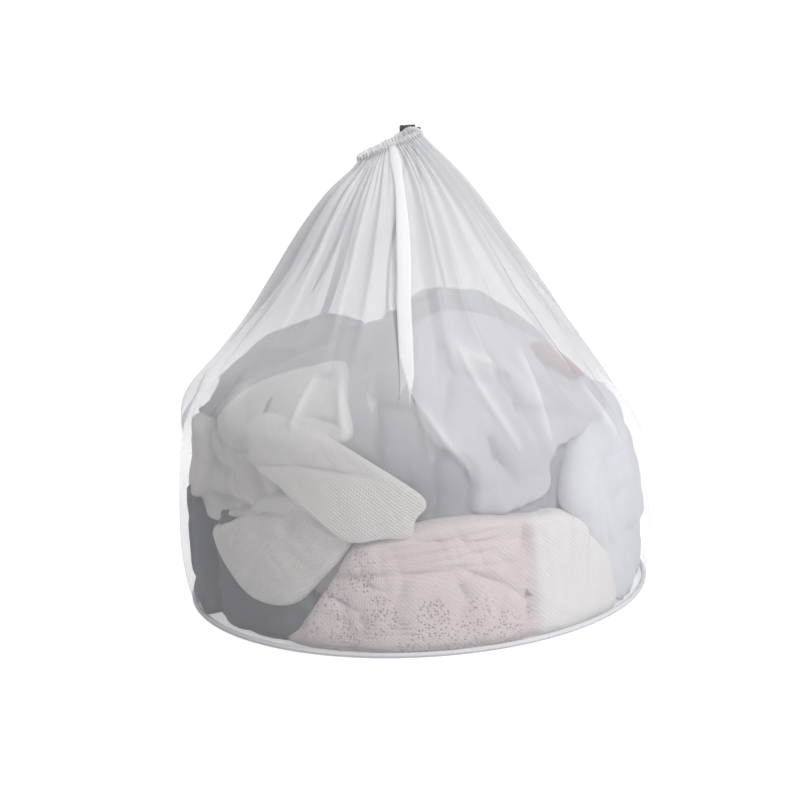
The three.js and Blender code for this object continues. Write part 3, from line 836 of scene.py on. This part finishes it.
def hem_ring(angle, turn):
    """One ring of the hem: turn is 0 on its outer side, 90 degrees at its top and 180 inside the mouth."""
    centre = mouth_point(angle)
    ahead = mouth_point(angle + 0.01) - mouth_point(angle - 0.01)
    ahead /= np.linalg.norm(ahead, axis=1)[:, None]
    up = np.array([-MOUTH_AXIS[2], 0, MOUTH_AXIS[0]]) / np.linalg.norm(MOUTH_AXIS)
    outwards = np.cross(ahead, up)
    pleat = (1 - np.cos(ring_phases()[1] * TURN)) / 2
    heights = np.random.default_rng(5).uniform(0.0, 1.0, 2 * len(RIDGES))
    at = np.arange(len(angle)) / len(angle) * len(heights)
    tall = catmull(np.append(heights, heights[:1])[:, None], at)[:, 0]
    narrow = HEM_HALF_THICKNESS + (0.5 - pleat) * HEM_PLEAT
    turned = (angle + math.pi) % TURN - math.pi
    bunched = 2.8 * MM * np.exp(-(((turned - 0.65) / 0.55) ** 2)) + 1.6 * MM * np.sin(angle)
    high = HEM_HALF_HEIGHT + (bunched - 0.5 * MM * pleat - 0.8 * MM * tall) * max(math.sin(turn), 0)
    return centre + outwards * (narrow * math.cos(turn))[:, None] + up * (high * math.sin(turn))[:, None]


def make_wall(material):
    levels = np.linspace(0.004, 1, WALL_ROWS)
    points, doubled = wall_sheet(levels)
    relative = points[-1] - MOUTH_CENTRE
    hem_angles = np.unwrap(np.arctan2(relative[:, 1] / MOUTH_HALF_DEPTH, relative[:, 0] / MOUTH_AXIS[0]))
    share = smoothstep(levels, HEM_BLEND_LEVEL, 1.0)[:, None, None]
    points = points * (1 - share) + hem_ring(hem_angles, 0.0)[None] * share
    stitched = np.exp(-(((levels - 0.985) / 0.006) ** 2))[:, None, None] * 0.5 * MM
    middle = mouth_point(hem_angles)[None]
    points = points - (points - middle) / np.linalg.norm(points - middle, axis=2)[:, :, None] * stitched
    u = np.arange(points.shape[1]) / points.shape[1] * CLOTH_WIDTH
    wall = grid_object("bag_mesh_wall", points, u, levels * CLOTH_HEIGHT, material, closed_columns=True)
    # This UV map carries the double-layer share, with the crests of the shoulder folds, which the mesh paints
    # as a highlight.
    layer = wall.data.uv_layers.new(name="doubled")
    corners = np.empty(len(wall.data.loops), dtype=np.int32)
    wall.data.loops.foreach_get("vertex_index", corners)
    shares = doubled.reshape(-1)[corners]
    layer.data.foreach_set("uv", np.stack([shares, shares], axis=-1).reshape(-1).astype(np.float32))
    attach(wall, "bag")
    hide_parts("mesh_wall")
    return wall, hem_angles


def make_casing(material, hem_angles):
    """The hem: from the wall's top edge up over the cord and back down inside the mouth, in small pleats."""
    points = np.stack([hem_ring(hem_angles, turn) for turn in np.radians(np.linspace(0, 225, 24))])
    u = np.arange(points.shape[1]) / points.shape[1] * CLOTH_WIDTH
    v = CLOTH_HEIGHT + np.linspace(0, 0.04, len(points))
    casing = grid_object("mouth_casing", points, u, v, material, closed_columns=True)
    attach(casing, "bag")
    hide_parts("drawstring_casing")
    return casing


# ------------------------------------------------------------------ base and seams


def make_base(material):
    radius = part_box("mesh_base")[1].x
    rings, columns = 40, 120
    r = np.linspace(0.002, radius, rings)
    turns = np.arange(columns) / columns * TURN
    x = (r[:, None] * np.cos(turns)).ravel()
    y = (r[:, None] * np.sin(turns)).ravel()
    flat = np.stack([x, y, np.zeros_like(x)], axis=-1)
    z = 0.7 * MM + np.abs(noise(flat, 0.04, 21)) * 0.5 * MM
    points = np.stack([x, y, z], axis=-1)
    faces = grid_faces(rings, columns, closed_columns=True).tolist()
    faces.append(list(range(columns))[::-1])
    base = new_object("bag_mesh_base", points, faces, material, uv=np.stack([x, y], axis=-1))
    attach(base, "bag")
    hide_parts("mesh_base")
    return base


def make_binding(material):
    """The overlocked seam: a rounded roll with its thread wound over it, a few stitches to the centimetre."""
    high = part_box("base_seam_binding")[1]
    stitches = 260
    columns = stitches * 4
    sides = 14
    turns = np.arange(columns) / columns * TURN
    section = np.arange(sides) / sides * TURN
    wave = (0.5 + 0.5 * np.cos(turns * stitches))[:, None]
    half_width, half_height = 2.1 * MM, high.z / 2
    middle = high.x - half_width - 0.3 * MM
    r = middle + half_width * (1 + 0.10 * wave) * np.cos(section)
    z = half_height + half_height * 0.96 * np.sin(section) * (0.9 + 0.06 * wave)
    points = np.stack([r * np.cos(turns)[:, None], r * np.sin(turns)[:, None], z], axis=-1)
    uv = np.stack([np.repeat(turns * middle, sides), np.tile(section * 3 * MM, columns)], axis=-1)
    faces = grid_faces(columns, sides, closed_columns=True, closed_rows=True)
    binding = new_object("base_overlock_seam", points.reshape(-1, 3), faces, material, uv=uv)
    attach(binding, "bag")
    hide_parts("base_seam_binding")


def make_seam_tape(material):
    """The upright seam at the back: a narrow ribbed tape with two rows of stitches."""
    middle_angle = math.radians(118)
    levels = np.linspace(0.012, 0.945, 160)
    across = np.linspace(-1, 1, 13)
    points = []
    for level in levels:
        near = wall_point(np.array([middle_angle]), np.array([level]))[0]
        half_angle = 4 * MM / max(np.hypot(near[0], near[1]), 20 * MM)
        angle = middle_angle + across * half_angle
        ridge = 0.5 * MM * np.cos(across * TURN) + 0.25 * MM * math.sin(level * 900)
        lift = fold_depth(near[2]) * 0.25 + 1.6 * MM
        points.append(wall_point(angle, np.full(len(across), level), lift + ridge))
    u = np.linspace(0, 8 * MM, len(across))
    tape = grid_object("back_seam_tape_woven", np.stack(points), u, levels * 0.43, material)
    solidify = tape.modifiers.new("thickness", "SOLIDIFY")
    solidify.thickness = 0.5 * MM
    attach(tape, "bag")
    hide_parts("back_seam_tape")


# ------------------------------------------------------------------ laundry


def lump_copy(node, name, voxel):
    """The CAD lump as a new object, remeshed evenly."""
    copy = bpy.data.objects.new(name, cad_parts[node].data.copy())
    bpy.context.scene.collection.objects.link(copy)
    remesh = copy.modifiers.new("remesh", "REMESH")
    remesh.mode = "VOXEL"
    remesh.voxel_size = voxel
    apply_modifiers(copy)
    return copy


def apply_modifiers(obj):
    graph = bpy.context.evaluated_depsgraph_get()
    mesh = bpy.data.meshes.new_from_object(obj.evaluated_get(graph))
    obj.modifiers.clear()
    old, obj.data = obj.data, mesh
    bpy.data.meshes.remove(old)


def vertex_places(mesh):
    places = np.zeros(len(mesh.vertices) * 3)
    mesh.vertices.foreach_get("co", places)
    return places.reshape(-1, 3)


def set_vertex_places(mesh, places):
    mesh.vertices.foreach_set("co", np.asarray(places).ravel())
    mesh.update()


SIM_FRAMES = 18
CLOTH_SETTINGS = {
    "quality": 4,
    "mass": 0.2,
    "tension_stiffness": 12,
    "compression_stiffness": 12,
    "shear_stiffness": 4,
    "bending_stiffness": 0.08,
}
SIM_REACH = 14 * MM  # no point moves further than this while the cloth buckles


def crumple_all(lumps):
    """Gives every lump more cloth than its shape needs, and lets the cloth buckle into creases."""
    starts = {}
    for obj, growth, folds, seed in lumps:
        places = vertex_places(obj.data)
        normals = np.zeros(len(places) * 3)
        obj.data.vertex_normals.foreach_get("vector", normals)
        sway = noise(places, 0.06, seed) * 0.6 + noise(places, 0.03, seed + 1) * 0.4
        bent = places * [1, 1, 0.55] + 0.02 * noise(places, 0.07, seed + 2)[:, None]
        sink = creases(bent, 0.05, seed + 3)
        moved = places + normals.reshape(-1, 3) * (folds * (sway - sink) - 1.5 * MM)[:, None]
        set_vertex_places(obj.data, moved)
        starts[obj.name] = moved
        pins = obj.vertex_groups.new(name="pins")
        for index in np.nonzero(sink > 0.45)[0]:
            pins.add([int(index)], 1.0, "REPLACE")
        cloth = obj.modifiers.new("crumple", "CLOTH")
        for key, value in CLOTH_SETTINGS.items():
            setattr(cloth.settings, key, value)
        cloth.settings.shrink_min = -growth
        cloth.settings.vertex_group_mass = "pins"
        cloth.settings.effector_weights.gravity = 0.15
        cloth.collision_settings.use_collision = False
    for step in range(1, SIM_FRAMES + 1):
        bpy.context.scene.frame_set(step)
    for obj, _, _, _ in lumps:
        apply_modifiers(obj)
    bpy.context.scene.frame_set(1)
    for obj, _, _, _ in lumps:
        start = starts[obj.name]
        moved = vertex_places(obj.data)
        shift = moved - start
        length = np.linalg.norm(shift, axis=1)[:, None]
        shift *= np.minimum(1, SIM_REACH / np.maximum(length, 1e-9))
        places = start + shift
        spread = 1 + 0.24 * smoothstep(places[:, 2], 0.07, 0.0)
        places[:, :2] *= spread[:, None]
        places[:, 2] -= 8 * MM * smoothstep(places[:, 2], 0.06, 0.0)
        places = keep_inside(places, 6.0 * MM, 20 * MM)
        places[:, 2] = np.maximum(places[:, 2], 2.2 * MM)
        set_vertex_places(obj.data, places)
        obj.data.polygons.foreach_set("use_smooth", [True] * len(obj.data.polygons))
        finer = obj.modifiers.new("finer", "SUBSURF")
        finer.levels = finer.render_levels = 1


def closed_outline(points, count):
    """A smooth closed curve through the outline's points."""
    points = np.asarray(points, float)
    at = np.arange(count) / count * len(points)
    index = np.floor(at).astype(int)
    neighbours = [points[(index + step) % len(points)] for step in (-1, 0, 1, 2)]
    return catmull_rom(*neighbours, (at - index)[:, None])


def pressed_garment(name, material, outline, inset, thickness, folds, swell, seed, grain, drape):
    """A folded garment pressed against the inside of the mesh.

    outline holds (angle, height in mm) pairs round its edge; inset is how far inside the wall its face
    lies and swell how far it buckles, in mm; folds are lines as for line_relief, but deep, not high; grain
    turns its knit and drape turns its creases, in radians."""
    radius = PRESSED_RADIUS
    rim, rings = 190, 56
    edge = closed_outline([(math.radians(a) * radius, h * MM) for a, h in outline], rim)
    centre = edge.mean(axis=0)
    share = np.sin(np.linspace(0.02, 1, rings) * math.pi / 2)
    flat = centre + share[:, None, None] * (edge - centre)[None]
    flat = flat.reshape(-1, 2)
    shares = np.repeat(share, rim)
    cos, sin = math.cos(drape), math.sin(drape)
    hung = flat @ np.array([[cos, -sin], [sin, cos]]) * [1, 0.38]
    hung = np.column_stack([hung, np.full(len(flat), seed * 0.37)])
    hung = hung + 0.006 * noise(hung, 0.03, seed + 9)[:, None]
    wobble = (
        0.8 * noise(hung, 0.045, seed + 1)
        + 0.9 * creases(hung, 0.032, seed + 2)
        + 0.45 * creases(hung, 0.015, seed + 3)
        + 0.25 * noise(hung, 0.012, seed + 4)
    ) * swell * 1.5 * MM
    angle = flat[:, 0] / radius
    height = flat[:, 1]
    wobble = wobble + line_relief(angle, height, folds) * 2.0
    rounding = np.clip((shares - 0.86) / 0.14, 0, 1)
    curl = thickness * MM / 2 * (1 - np.sqrt(np.clip(1 - rounding**2, 0, 1)))
    curl = curl * (0.15 + 0.85 * smoothstep(height, 0.002, 0.025))
    gap = (inset + 3) * MM * (0.5 + 0.5 * smoothstep(height, 0.0, 0.04))
    reach = wall_reach(angle, height) - gap - np.maximum(height - 0.17, 0) * 0.28
    front_reach = reach - np.maximum(wobble, -1.5 * MM) - curl
    back_reach = reach - thickness * MM + curl * 0.9 - np.maximum(wobble, 0) * 0.5
    back_reach = np.minimum(back_reach, front_reach - 0.2 * MM)

    def shell(distance):
        x, y = distance * np.cos(angle), distance * np.sin(angle)
        return np.stack([x, y, np.maximum(height, 2.2 * MM)], axis=-1)

    faces = grid_faces(rings, rim, closed_columns=True)
    offset = rings * rim
    last = (rings - 1) * rim + np.arange(rim)
    after = np.roll(last, -1)
    sides = np.stack([last, after, after + offset, last + offset], axis=-1)
    cap = [list(range(rim))[::-1], [offset + j for j in range(rim)]]
    every = faces.tolist() + (faces[:, ::-1] + offset).tolist() + sides.tolist() + cap
    spin = np.array([[math.cos(grain), -math.sin(grain)], [math.sin(grain), math.cos(grain)]])
    uv = np.vstack([flat @ spin, flat @ spin])
    return new_object(name, np.vstack([shell(front_reach), shell(back_reach)]), every, material, uv=uv)


def add_to_bag(obj, node):
    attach(obj, "bag")
    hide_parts(node)


TERRY_LOOP = 2.8 * MM


def make_laundry():
    cream_colours = (0.88, 0.84, 0.785), (0.68, 0.645, 0.60)
    cream = cloth_material("cream_rib_knit", *cream_colours, source="UV", rib=2.3 * MM)
    plain_cream = cloth_material("cream_knit_inside", (0.80, 0.77, 0.71), (0.66, 0.63, 0.58))
    white = cloth_material("white_cotton", (0.68, 0.68, 0.72), (0.50, 0.50, 0.54), fuzz=0.2)
    terry = cloth_material("white_terry", (0.86, 0.865, 0.89), (0.70, 0.71, 0.74), thread=TERRY_LOOP)
    grey = cloth_material("grey_twill", (0.10, 0.105, 0.13), (0.05, 0.055, 0.07), fuzz=0.1)
    hoodie = cloth_material("grey_jersey", (0.29, 0.29, 0.325), (0.17, 0.17, 0.20))
    denim = cloth_material("washed_denim", (0.22, 0.27, 0.35), (0.12, 0.16, 0.23), fuzz=0.1)
    towel = cloth_material("pale_grey_terry", (0.60, 0.62, 0.66), (0.48, 0.50, 0.54), thread=TERRY_LOOP)
    dark = cloth_material("charcoal_knit", (0.36, 0.365, 0.40), (0.25, 0.255, 0.28))
    red = cloth_material("red_knit", (0.50, 0.10, 0.10), (0.30, 0.05, 0.05))
    lace = lace_material()
    lace_inside = cloth_material("pink_knit_inside", (0.78, 0.66, 0.63), (0.64, 0.52, 0.50))

    # The garment, its piece in the middle of the bag, its slot and material, its growth and its depth in mm.
    lumps = [
        ("grey_trousers", "grey_trousers", "grey_cloth", grey, 0.18, 5),
        ("white_towel", "white_towel", "white_terry", terry, 0.12, 7),
        ("red_sock", "red_sock", "red_knit", red, 0.1, 1),
        ("grey_hoodie", "grey_hoodie", "grey_jersey", hoodie, 0.18, 7),
        ("blue_jeans", "blue_jeans", "blue_denim", denim, 0.15, 6),
        ("bath_towel", "bath_towel", "grey_terry", towel, 0.12, 6),
        ("dark_pullover", "dark_pullover", "dark_knit", dark, 0.18, 6),
        ("cotton_sheet", "cotton_sheet", "white_cotton", white, 0.2, 7),
        ("white_shirt", "white_shirt", "white_cotton", white, 0.22, 8),
        ("cream_sweater", "cream_sweater_inside", "cream_knit", plain_cream, 0.1, 4),
        ("lace_knit", "lace_knit_inside", "pink_knit", lace_inside, 0.1, 4),
    ]
    made = []
    for number, (garment, name, slot, material, growth, folds) in enumerate(lumps):
        obj = lump_copy("laundry_" + garment, name, 4.5 * MM)
        obj.data.materials.clear()
        obj.data.materials.append(material)
        made.append((obj, growth, folds * MM, 100 + 20 * number))
        add_to_bag(obj, "laundry_" + garment)
    crumple_all(made)

    # The pieces against the wall: garment and material, then what pressed_garment asks for.
    front = {
        "trousers_at_front": (
            "grey_trousers", grey,
            [(174, 4), (172, 40), (180, 84), (203, 100), (216, 98), (226, 70), (240, 44), (250, 20),
             (252, 3), (218, 3)],
            14, 30, [(200, 80, 206, 20, 4, 6), (214, 70, 224, 14, 3, 5), (196, 40, 226, 24, -2, 5)],
            4, 401, 0, 0.2,
        ),
        "trousers_at_side": (
            "grey_trousers", grey,
            [(160, 5), (158, 50), (166, 92), (186, 104), (200, 98), (205, 60), (206, 5)],
            3, 28, [(176, 90, 186, 20, 4, 6)], 3, 521, 0, 0.1,
        ),
        "sweater_at_side": (
            "cream_sweater", cream,
            [(158, 100), (160, 140), (172, 158), (190, 162), (202, 154), (204, 120), (196, 96), (176, 92)],
            3, 24, [(170, 150, 190, 112, 4, 5), (186, 158, 196, 120, 3, 5)], 2.5, 533, 0.3, 0.2,
        ),
        "hoodie_at_front": (
            "grey_hoodie", hoodie,
            [(180, 168), (192, 190), (206, 207), (222, 222), (238, 234), (256, 246), (277, 244), (286, 214),
             (286, 180), (280, 150), (279, 120), (272, 104), (258, 110), (248, 146), (236, 176), (214, 168)],
            20, 30, [(250, 225, 262, 150, 9, 6), (262, 236, 272, 170, -7, 7), (270, 215, 276, 140, 10, 5),
                     (226, 214, 240, 190, 8, 5), (255, 190, 276, 182, 8, 4), (266, 165, 262, 125, -6, 6),
                     (256, 150, 270, 118, 8, 4), (262, 206, 284, 204, 7, 4)],
            4, 417, 0, 0.3,
        ),
        "pullover_at_front": (
            "dark_pullover", dark,
            [(270, 98), (272, 130), (282, 160), (298, 166), (312, 158), (322, 130), (320, 96), (300, 92)],
            26, 24, [(282, 150, 292, 110, 5, 6), (300, 150, 306, 104, 5, 6)], 4, 433, 0, 0.0,
        ),
        "shirt_at_front": (
            "white_shirt", white,
            [(268, 230), (280, 245), (300, 249), (322, 240), (342, 220), (354, 192), (350, 164), (334, 150),
             (318, 146), (311, 142), (307, 128), (305, 112), (298, 104), (288, 102), (284, 110), (285, 130),
             (283, 148), (275, 164), (271, 196)],
            9, 26, [(284, 232, 292, 176, 11, 5), (296, 236, 300, 168, -6, 7), (303, 220, 306, 164, 11, 5),
                     (312, 214, 322, 160, 10, 5), (286, 206, 304, 194, 8, 4), (318, 205, 316, 160, -5, 8),
                     (290, 172, 297, 118, 6, 6), (326, 206, 334, 172, 8, 5),
                     (300, 178, 322, 164, 8, 5)],
            4, 449, 0, 0.1,
        ),
        "towel_at_front": (
            "white_towel", terry,
            [(310, 104), (313, 128), (322, 150), (342, 160), (360, 166), (378, 156), (392, 116), (394, 56),
             (388, 4), (360, 3), (330, 3), (320, 50), (313, 84)],
            2, 30, [(324, 140, 330, 70, 5, 7), (336, 150, 344, 60, -4, 8), (350, 150, 352, 40, 6, 7),
                    (330, 60, 360, 40, 4, 7), (366, 130, 372, 30, 5, 7)],
            4, 479, 0, 0.0,
        ),
        "sock_at_front": (
            "red_sock", red,
            [(328, 217), (334, 216), (341, 199), (342, 186), (336, 188), (330, 202)],
            3, 9, [(332, 211, 337, 193, 1.2, 2)], 0.8, 491, 0, 0.3,
        ),
        "sweater_back_fold": (
            "cream_sweater", cream,
            [(203, 164), (206, 184), (216, 204), (230, 213), (242, 206), (243, 180), (232, 156), (214, 150)],
            14, 18, [(212, 190, 222, 168, 1.5, 5), (220, 200, 226, 176, 1.5, 5)], 3, 503, 1.2, 0.5,
        ),
        "sweater_upper": (
            "cream_sweater", cream,
            [(229, 184), (229, 204), (233, 215), (243, 218), (247.5, 210), (250, 192), (254, 170), (248, 160),
             (236, 164), (230, 172)],
            10, 20, [(233, 205, 244, 209, 5, 3), (241, 181, 250, 177, 5, 3), (234, 192, 240, 196, 2, 4)],
            1.6, 31, 1.2, 0.9,
        ),
        "sweater_sleeve": (
            "cream_sweater", cream,
            [(176, 112), (179, 146), (192, 157), (203, 157), (218, 154), (228, 150), (236, 132),
             (232, 108), (222, 98), (206, 84), (194, 88)],
            13, 22, [(196, 140, 218, 130, 3, 6), (222, 150, 230, 122, 4, 4), (204, 110, 226, 106, 5, 4),
                     (210, 96, 224, 110, 3, 4)],
            2.2, 67, 0.3, 0.6,
        ),
        "sweater_lower": (
            "cream_sweater", cream,
            [(211, 90), (224, 106), (230, 122), (240, 126), (249, 106), (254, 92), (252, 78), (246, 58),
             (238, 35), (229, 31), (222, 38), (212, 62), (207, 78)],
            8, 20, [(208, 84, 224, 102, 5, 3), (224, 104, 236, 108, 3, 3), (240, 118, 237, 88, 3, 5),
                    (243, 106, 252, 92, -1.5, 4)],
            1.4, 59, -0.95, 0.8,
        ),
        "sweater_flap": (
            "cream_sweater", cream,
            [(224, 174), (229, 184), (243, 176), (252, 166), (263, 146), (271, 128), (272.5, 118), (270, 108),
             (268.5, 95), (262, 94), (254, 92), (246, 110), (236, 132), (228, 146), (225, 160)],
            3.5, 9,
            [(228, 146, 244, 149, 1.6, 2), (240, 150, 260, 142, 2.2, 2), (232, 170, 246, 160, -1.2, 4)],
            0.9, 47, 0.9, 0.6,
        ),
        "lace_knit": (
            "lace_knit", lace,
            [(238, 3), (239, 16), (243, 34), (248, 56), (254, 84), (262, 94), (272, 102), (284, 104),
             (292, 102), (300, 98), (308, 97), (317, 86), (323, 70), (327, 40), (326, 3), (300, 2.5),
             (270, 2.5)],
            6.5, 30,
            [(247, 62, 264, 65, 3, 2.5), (264, 65, 280, 66, 3.5, 2.5), (280, 66, 290, 50, 3.5, 2.5),
             (290, 50, 297, 30, 3, 2.5), (296, 98, 296.5, 64, 5, 3), (296.5, 64, 297, 10, 4, 3),
             (262, 76, 292, 90, 1.6, 1.6), (262, 84, 290, 96, 1.4, 1.6), (268, 92, 296, 84, 1.4, 1.6),
             (268, 72, 290, 80, 1.4, 1.6), (272, 70, 294, 66, 1.2, 1.6),
             (300, 96, 302, 40, 1.8, 2.5), (305, 95, 306, 30, 1.5, 2.5), (310, 92, 309, 22, 1.8, 2.5),
             (316, 84, 314, 14, 1.8, 2.5), (267, 62, 264, 38, 2.2, 1.8), (264, 38, 267, 12, 2.2, 1.8),
             (279, 60, 281, 38, 2.2, 1.8), (281, 38, 278, 12, 2.2, 1.8), (290, 46, 288, 24, 2, 1.8),
             (246, 50, 256, 36, 2.5, 1.8), (256, 36, 258, 12, 2, 1.8), (252, 66, 262, 52, 2, 1.8)],
            2.0, 83, 0, 0.3,
        ),
    }
    for name, (garment, material, *shape) in front.items():
        piece = pressed_garment(name, material, *shape)
        add_to_bag(piece, "laundry_" + garment)


# ------------------------------------------------------------------ cord lock


def turned_piece(name, profile, material):
    """A turned part of the lock, along X, from (radius, position) pairs in mm."""
    sides = 64
    turns = np.arange(sides) / sides * TURN
    rings = []
    for radius, along in profile:
        around = np.cos(turns)[:, None] * LOCK_UP + np.sin(turns)[:, None] * -LOCK_RUN
        rings.append(LOCK_CENTRE + np.array([along * MM, 0, 0]) + radius * MM * around)
    faces = grid_faces(len(profile), sides, closed_columns=True).tolist()
    faces += cap_faces(len(profile), sides)
    return new_object(name, np.vstack(rings), faces, material)


def cut_box(obj, low, high):
    """Cuts the tails' passage through a piece of the lock; low and high are along X, in mm."""
    half_height, depth = 3.8 * MM, 12 * MM
    corners = []
    for along in (low * MM, high * MM):
        for up in (-half_height, half_height):
            for run in (-depth, depth):
                corners.append(LOCK_CENTRE + np.array([along, 0, 0]) + LOCK_UP * up + LOCK_RUN * run)
    faces = [(0, 1, 3, 2), (4, 6, 7, 5), (0, 4, 5, 1), (2, 3, 7, 6), (0, 2, 6, 4), (1, 5, 7, 3)]
    cutter = new_object("cutter", np.array(corners), faces, obj.data.materials[0], smooth=False)
    cut = obj.modifiers.new("passage", "BOOLEAN")
    cut.object = cutter
    cut.operation = "DIFFERENCE"
    cut.solver = "EXACT"
    apply_modifiers(obj)
    bpy.data.objects.remove(cutter)
    bevel = obj.modifiers.new("edges", "BEVEL")
    bevel.width = 0.25 * MM
    bevel.segments = 2
    bevel.limit_method = "ANGLE"
    bevel.angle_limit = math.radians(40)


def make_lock(material):
    barrel = turned_piece(
        "lock_barrel",
        [(5.2, -8.6), (6.2, -8.5), (6.8, -8.1), (7.0, -7.4), (7.0, -5.2), (6.75, -5.0), (6.75, -4.6),
         (7.0, -4.4), (7.0, 3.6), (6.85, 4.5), (6.4, 5.0), (5.0, 5.0), (5.0, -7.6)],
        material,
    )
    cut_box(barrel, -1.8, 1.8)
    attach(barrel, "cord_lock")
    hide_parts("cord_lock_barrel")
    plunger = turned_piece(
        "lock_plunger",
        [(4.4, -3.0), (4.7, -2.8), (4.7, 8.4), (4.5, 9.2), (3.9, 9.7), (3.0, 9.8), (1.6, 9.6)],
        material,
    )
    cut_box(plunger, -1.8, 4.8)
    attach(plunger, "lock_button")
    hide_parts("cord_lock_plunger")


# ------------------------------------------------------------------ cords and mouth fittings


def make_cords(material):
    for side, route, label in ((1, LEFT_TAIL_MM, "left"), (-1, RIGHT_TAIL_MM, "right")):
        path, length = tail_path(side, route)
        cord = tube("tail_cord_" + label, path, CORD_RADIUS, 16, material)
        knot = overhand_knot("tail_end_knot_" + label, path[-1], path[-1] - path[-3], material)
        for piece, node in ((cord, "drawstring_tail_" + label), (knot, "tail_knot_" + label)):
            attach(piece, "bag")
            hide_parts(node)


def make_drawstring(material):
    """The cord inside the casing, with both ends turned out through the buttonhole."""
    bend = 0.42
    ends = {
        side: [
            exit_place(side * (EXIT_HALF_SPACING + 3.2 * MM), 0.9 * MM),
            exit_place(side * (EXIT_HALF_SPACING + 0.9 * MM), 2.9 * MM),
            exit_place(side * EXIT_HALF_SPACING, EXIT_REACH - 0.15 * MM),
        ]
        for side in (1, -1)
    }
    sweep = EXIT_ANGLE + bend + np.linspace(0, TURN - 2 * bend, 27)
    points = ends[1][::-1] + list(mouth_point(sweep)) + ends[-1]
    path, _ = smooth_path(points, 1.5 * MM)
    cord = tube("drawstring_in_casing", path, CORD_RADIUS, 16, material)
    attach(cord, "bag")
    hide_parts("drawstring")


def make_buttonhole(material):
    """Close zigzag stitches around the hole where the cord leaves the casing."""
    half_length, half_width = 7.0 * MM, 2.4 * MM
    flat = half_length - half_width
    count = 260
    outline = []
    for turn in np.arange(count) / count * TURN:
        straight = math.copysign(flat, math.cos(turn)) * min(1, abs(math.cos(turn)) * 3)
        outline.append((straight + half_width * math.cos(turn), half_width * math.sin(turn)))
    across = np.cross(EXIT_OUT, EXIT_ALONG)
    path = [
        EXIT_CENTRE + EXIT_ALONG * x + across * y + EXIT_OUT * (6.0 * MM + 0.25 * MM * math.sin(i * 2.1))
        for i, (x, y) in enumerate(outline)
    ]
    ring = tube("buttonhole_stitching", path + path[:1], 0.55 * MM, 8, material, cap=False)
    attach(ring, "bag")
    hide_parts("cord_exit_buttonhole")


# ------------------------------------------------------------------ floor, light and world


def make_stage():
    """A pale floor that reads as white, a white backdrop, a dim sky and three soft lamps."""
    values = {"Base Color": (0.8, 0.8, 0.81, 1), "Roughness": 0.9, "Emission Color": (1, 1, 1, 1)}
    floor_material, tree, shader = new_material("pale_floor", values)
    path = add_node(tree, "ShaderNodeLightPath")
    glow = math_node(tree, "MULTIPLY", path.outputs["Is Camera Ray"], 0.78)
    tree.links.new(glow, shader.inputs["Emission Strength"])
    half = 30.0
    corners = [(-half, -half, 0), (half, -half, 0), (half, half, 0), (-half, half, 0)]
    floor = new_object("floor", corners, [(0, 1, 2, 3)], floor_material, smooth=False)
    floor.location.z = -0.2 * MM

    world = bpy.data.worlds.new("studio")
    bpy.context.scene.world = world
    world.use_nodes = True
    tree = world.node_tree
    tree.nodes.clear()
    path = add_node(tree, "ShaderNodeLightPath")
    seen = add_node(tree, "ShaderNodeBackground", {"Color": (1, 1, 1, 1), "Strength": 1.05})
    soft = add_node(tree, "ShaderNodeBackground", {"Color": (0.94, 0.95, 1, 1), "Strength": 0.36})
    mixed = add_node(tree, "ShaderNodeMixShader", {0: path.outputs["Is Camera Ray"]})
    tree.links.new(soft.outputs[0], mixed.inputs[1])
    tree.links.new(seen.outputs[0], mixed.inputs[2])
    output = add_node(tree, "ShaderNodeOutputWorld")
    tree.links.new(mixed.outputs[0], output.inputs[0])

    def area(name, position, size, power, aim=(0, 0, 0.2)):
        data = bpy.data.lights.new(name, "AREA")
        data.energy = power
        data.size = size
        light = bpy.data.objects.new(name, data)
        light.location = position
        light.rotation_euler = (Vector(aim) - Vector(position)).to_track_quat("-Z", "Y").to_euler()
        bpy.context.scene.collection.objects.link(light)

    area("key_right", (1.0, -1.3, 1.3), 0.6, 22)
    area("top", (-0.1, 0.1, 2.2), 1.0, 13)
    area("back_fill", (-0.9, 1.7, 1.2), 1.2, 15)


# ------------------------------------------------------------------ build

make_camera()
cord_white = cord_material()
make_cords(cord_white)
make_drawstring(cord_white)
make_stage()

sheer = sheer_material("white_mesh", 0.32, 0.60, (0.80, 0.80, 0.82))
hem_sheer = sheer_material("white_mesh_doubled", 0.70, 0.70, (0.84, 0.84, 0.86))
overlock_colours = (0.84, 0.85, 0.88), (0.70, 0.71, 0.75)
binding_cloth = cloth_material("overlock_thread", *overlock_colours, thread=1.2 * MM, source="UV")

wall, hem_angles = make_wall(sheer)
casing = make_casing(hem_sheer, hem_angles)
base = make_base(sheer)
make_binding(binding_cloth)
make_seam_tape(binding_cloth)
make_buttonhole(binding_cloth)

make_lock(lock_material())
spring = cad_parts["cord_lock_spring"]
spring.data.materials.clear()
spring.data.materials.append(steel_material())
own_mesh(spring)

make_laundry()

scene = bpy.context.scene
scene.view_settings.view_transform = "Standard"
scene.cycles.transparent_max_bounces = 48
scene.cycles.max_bounces = 10
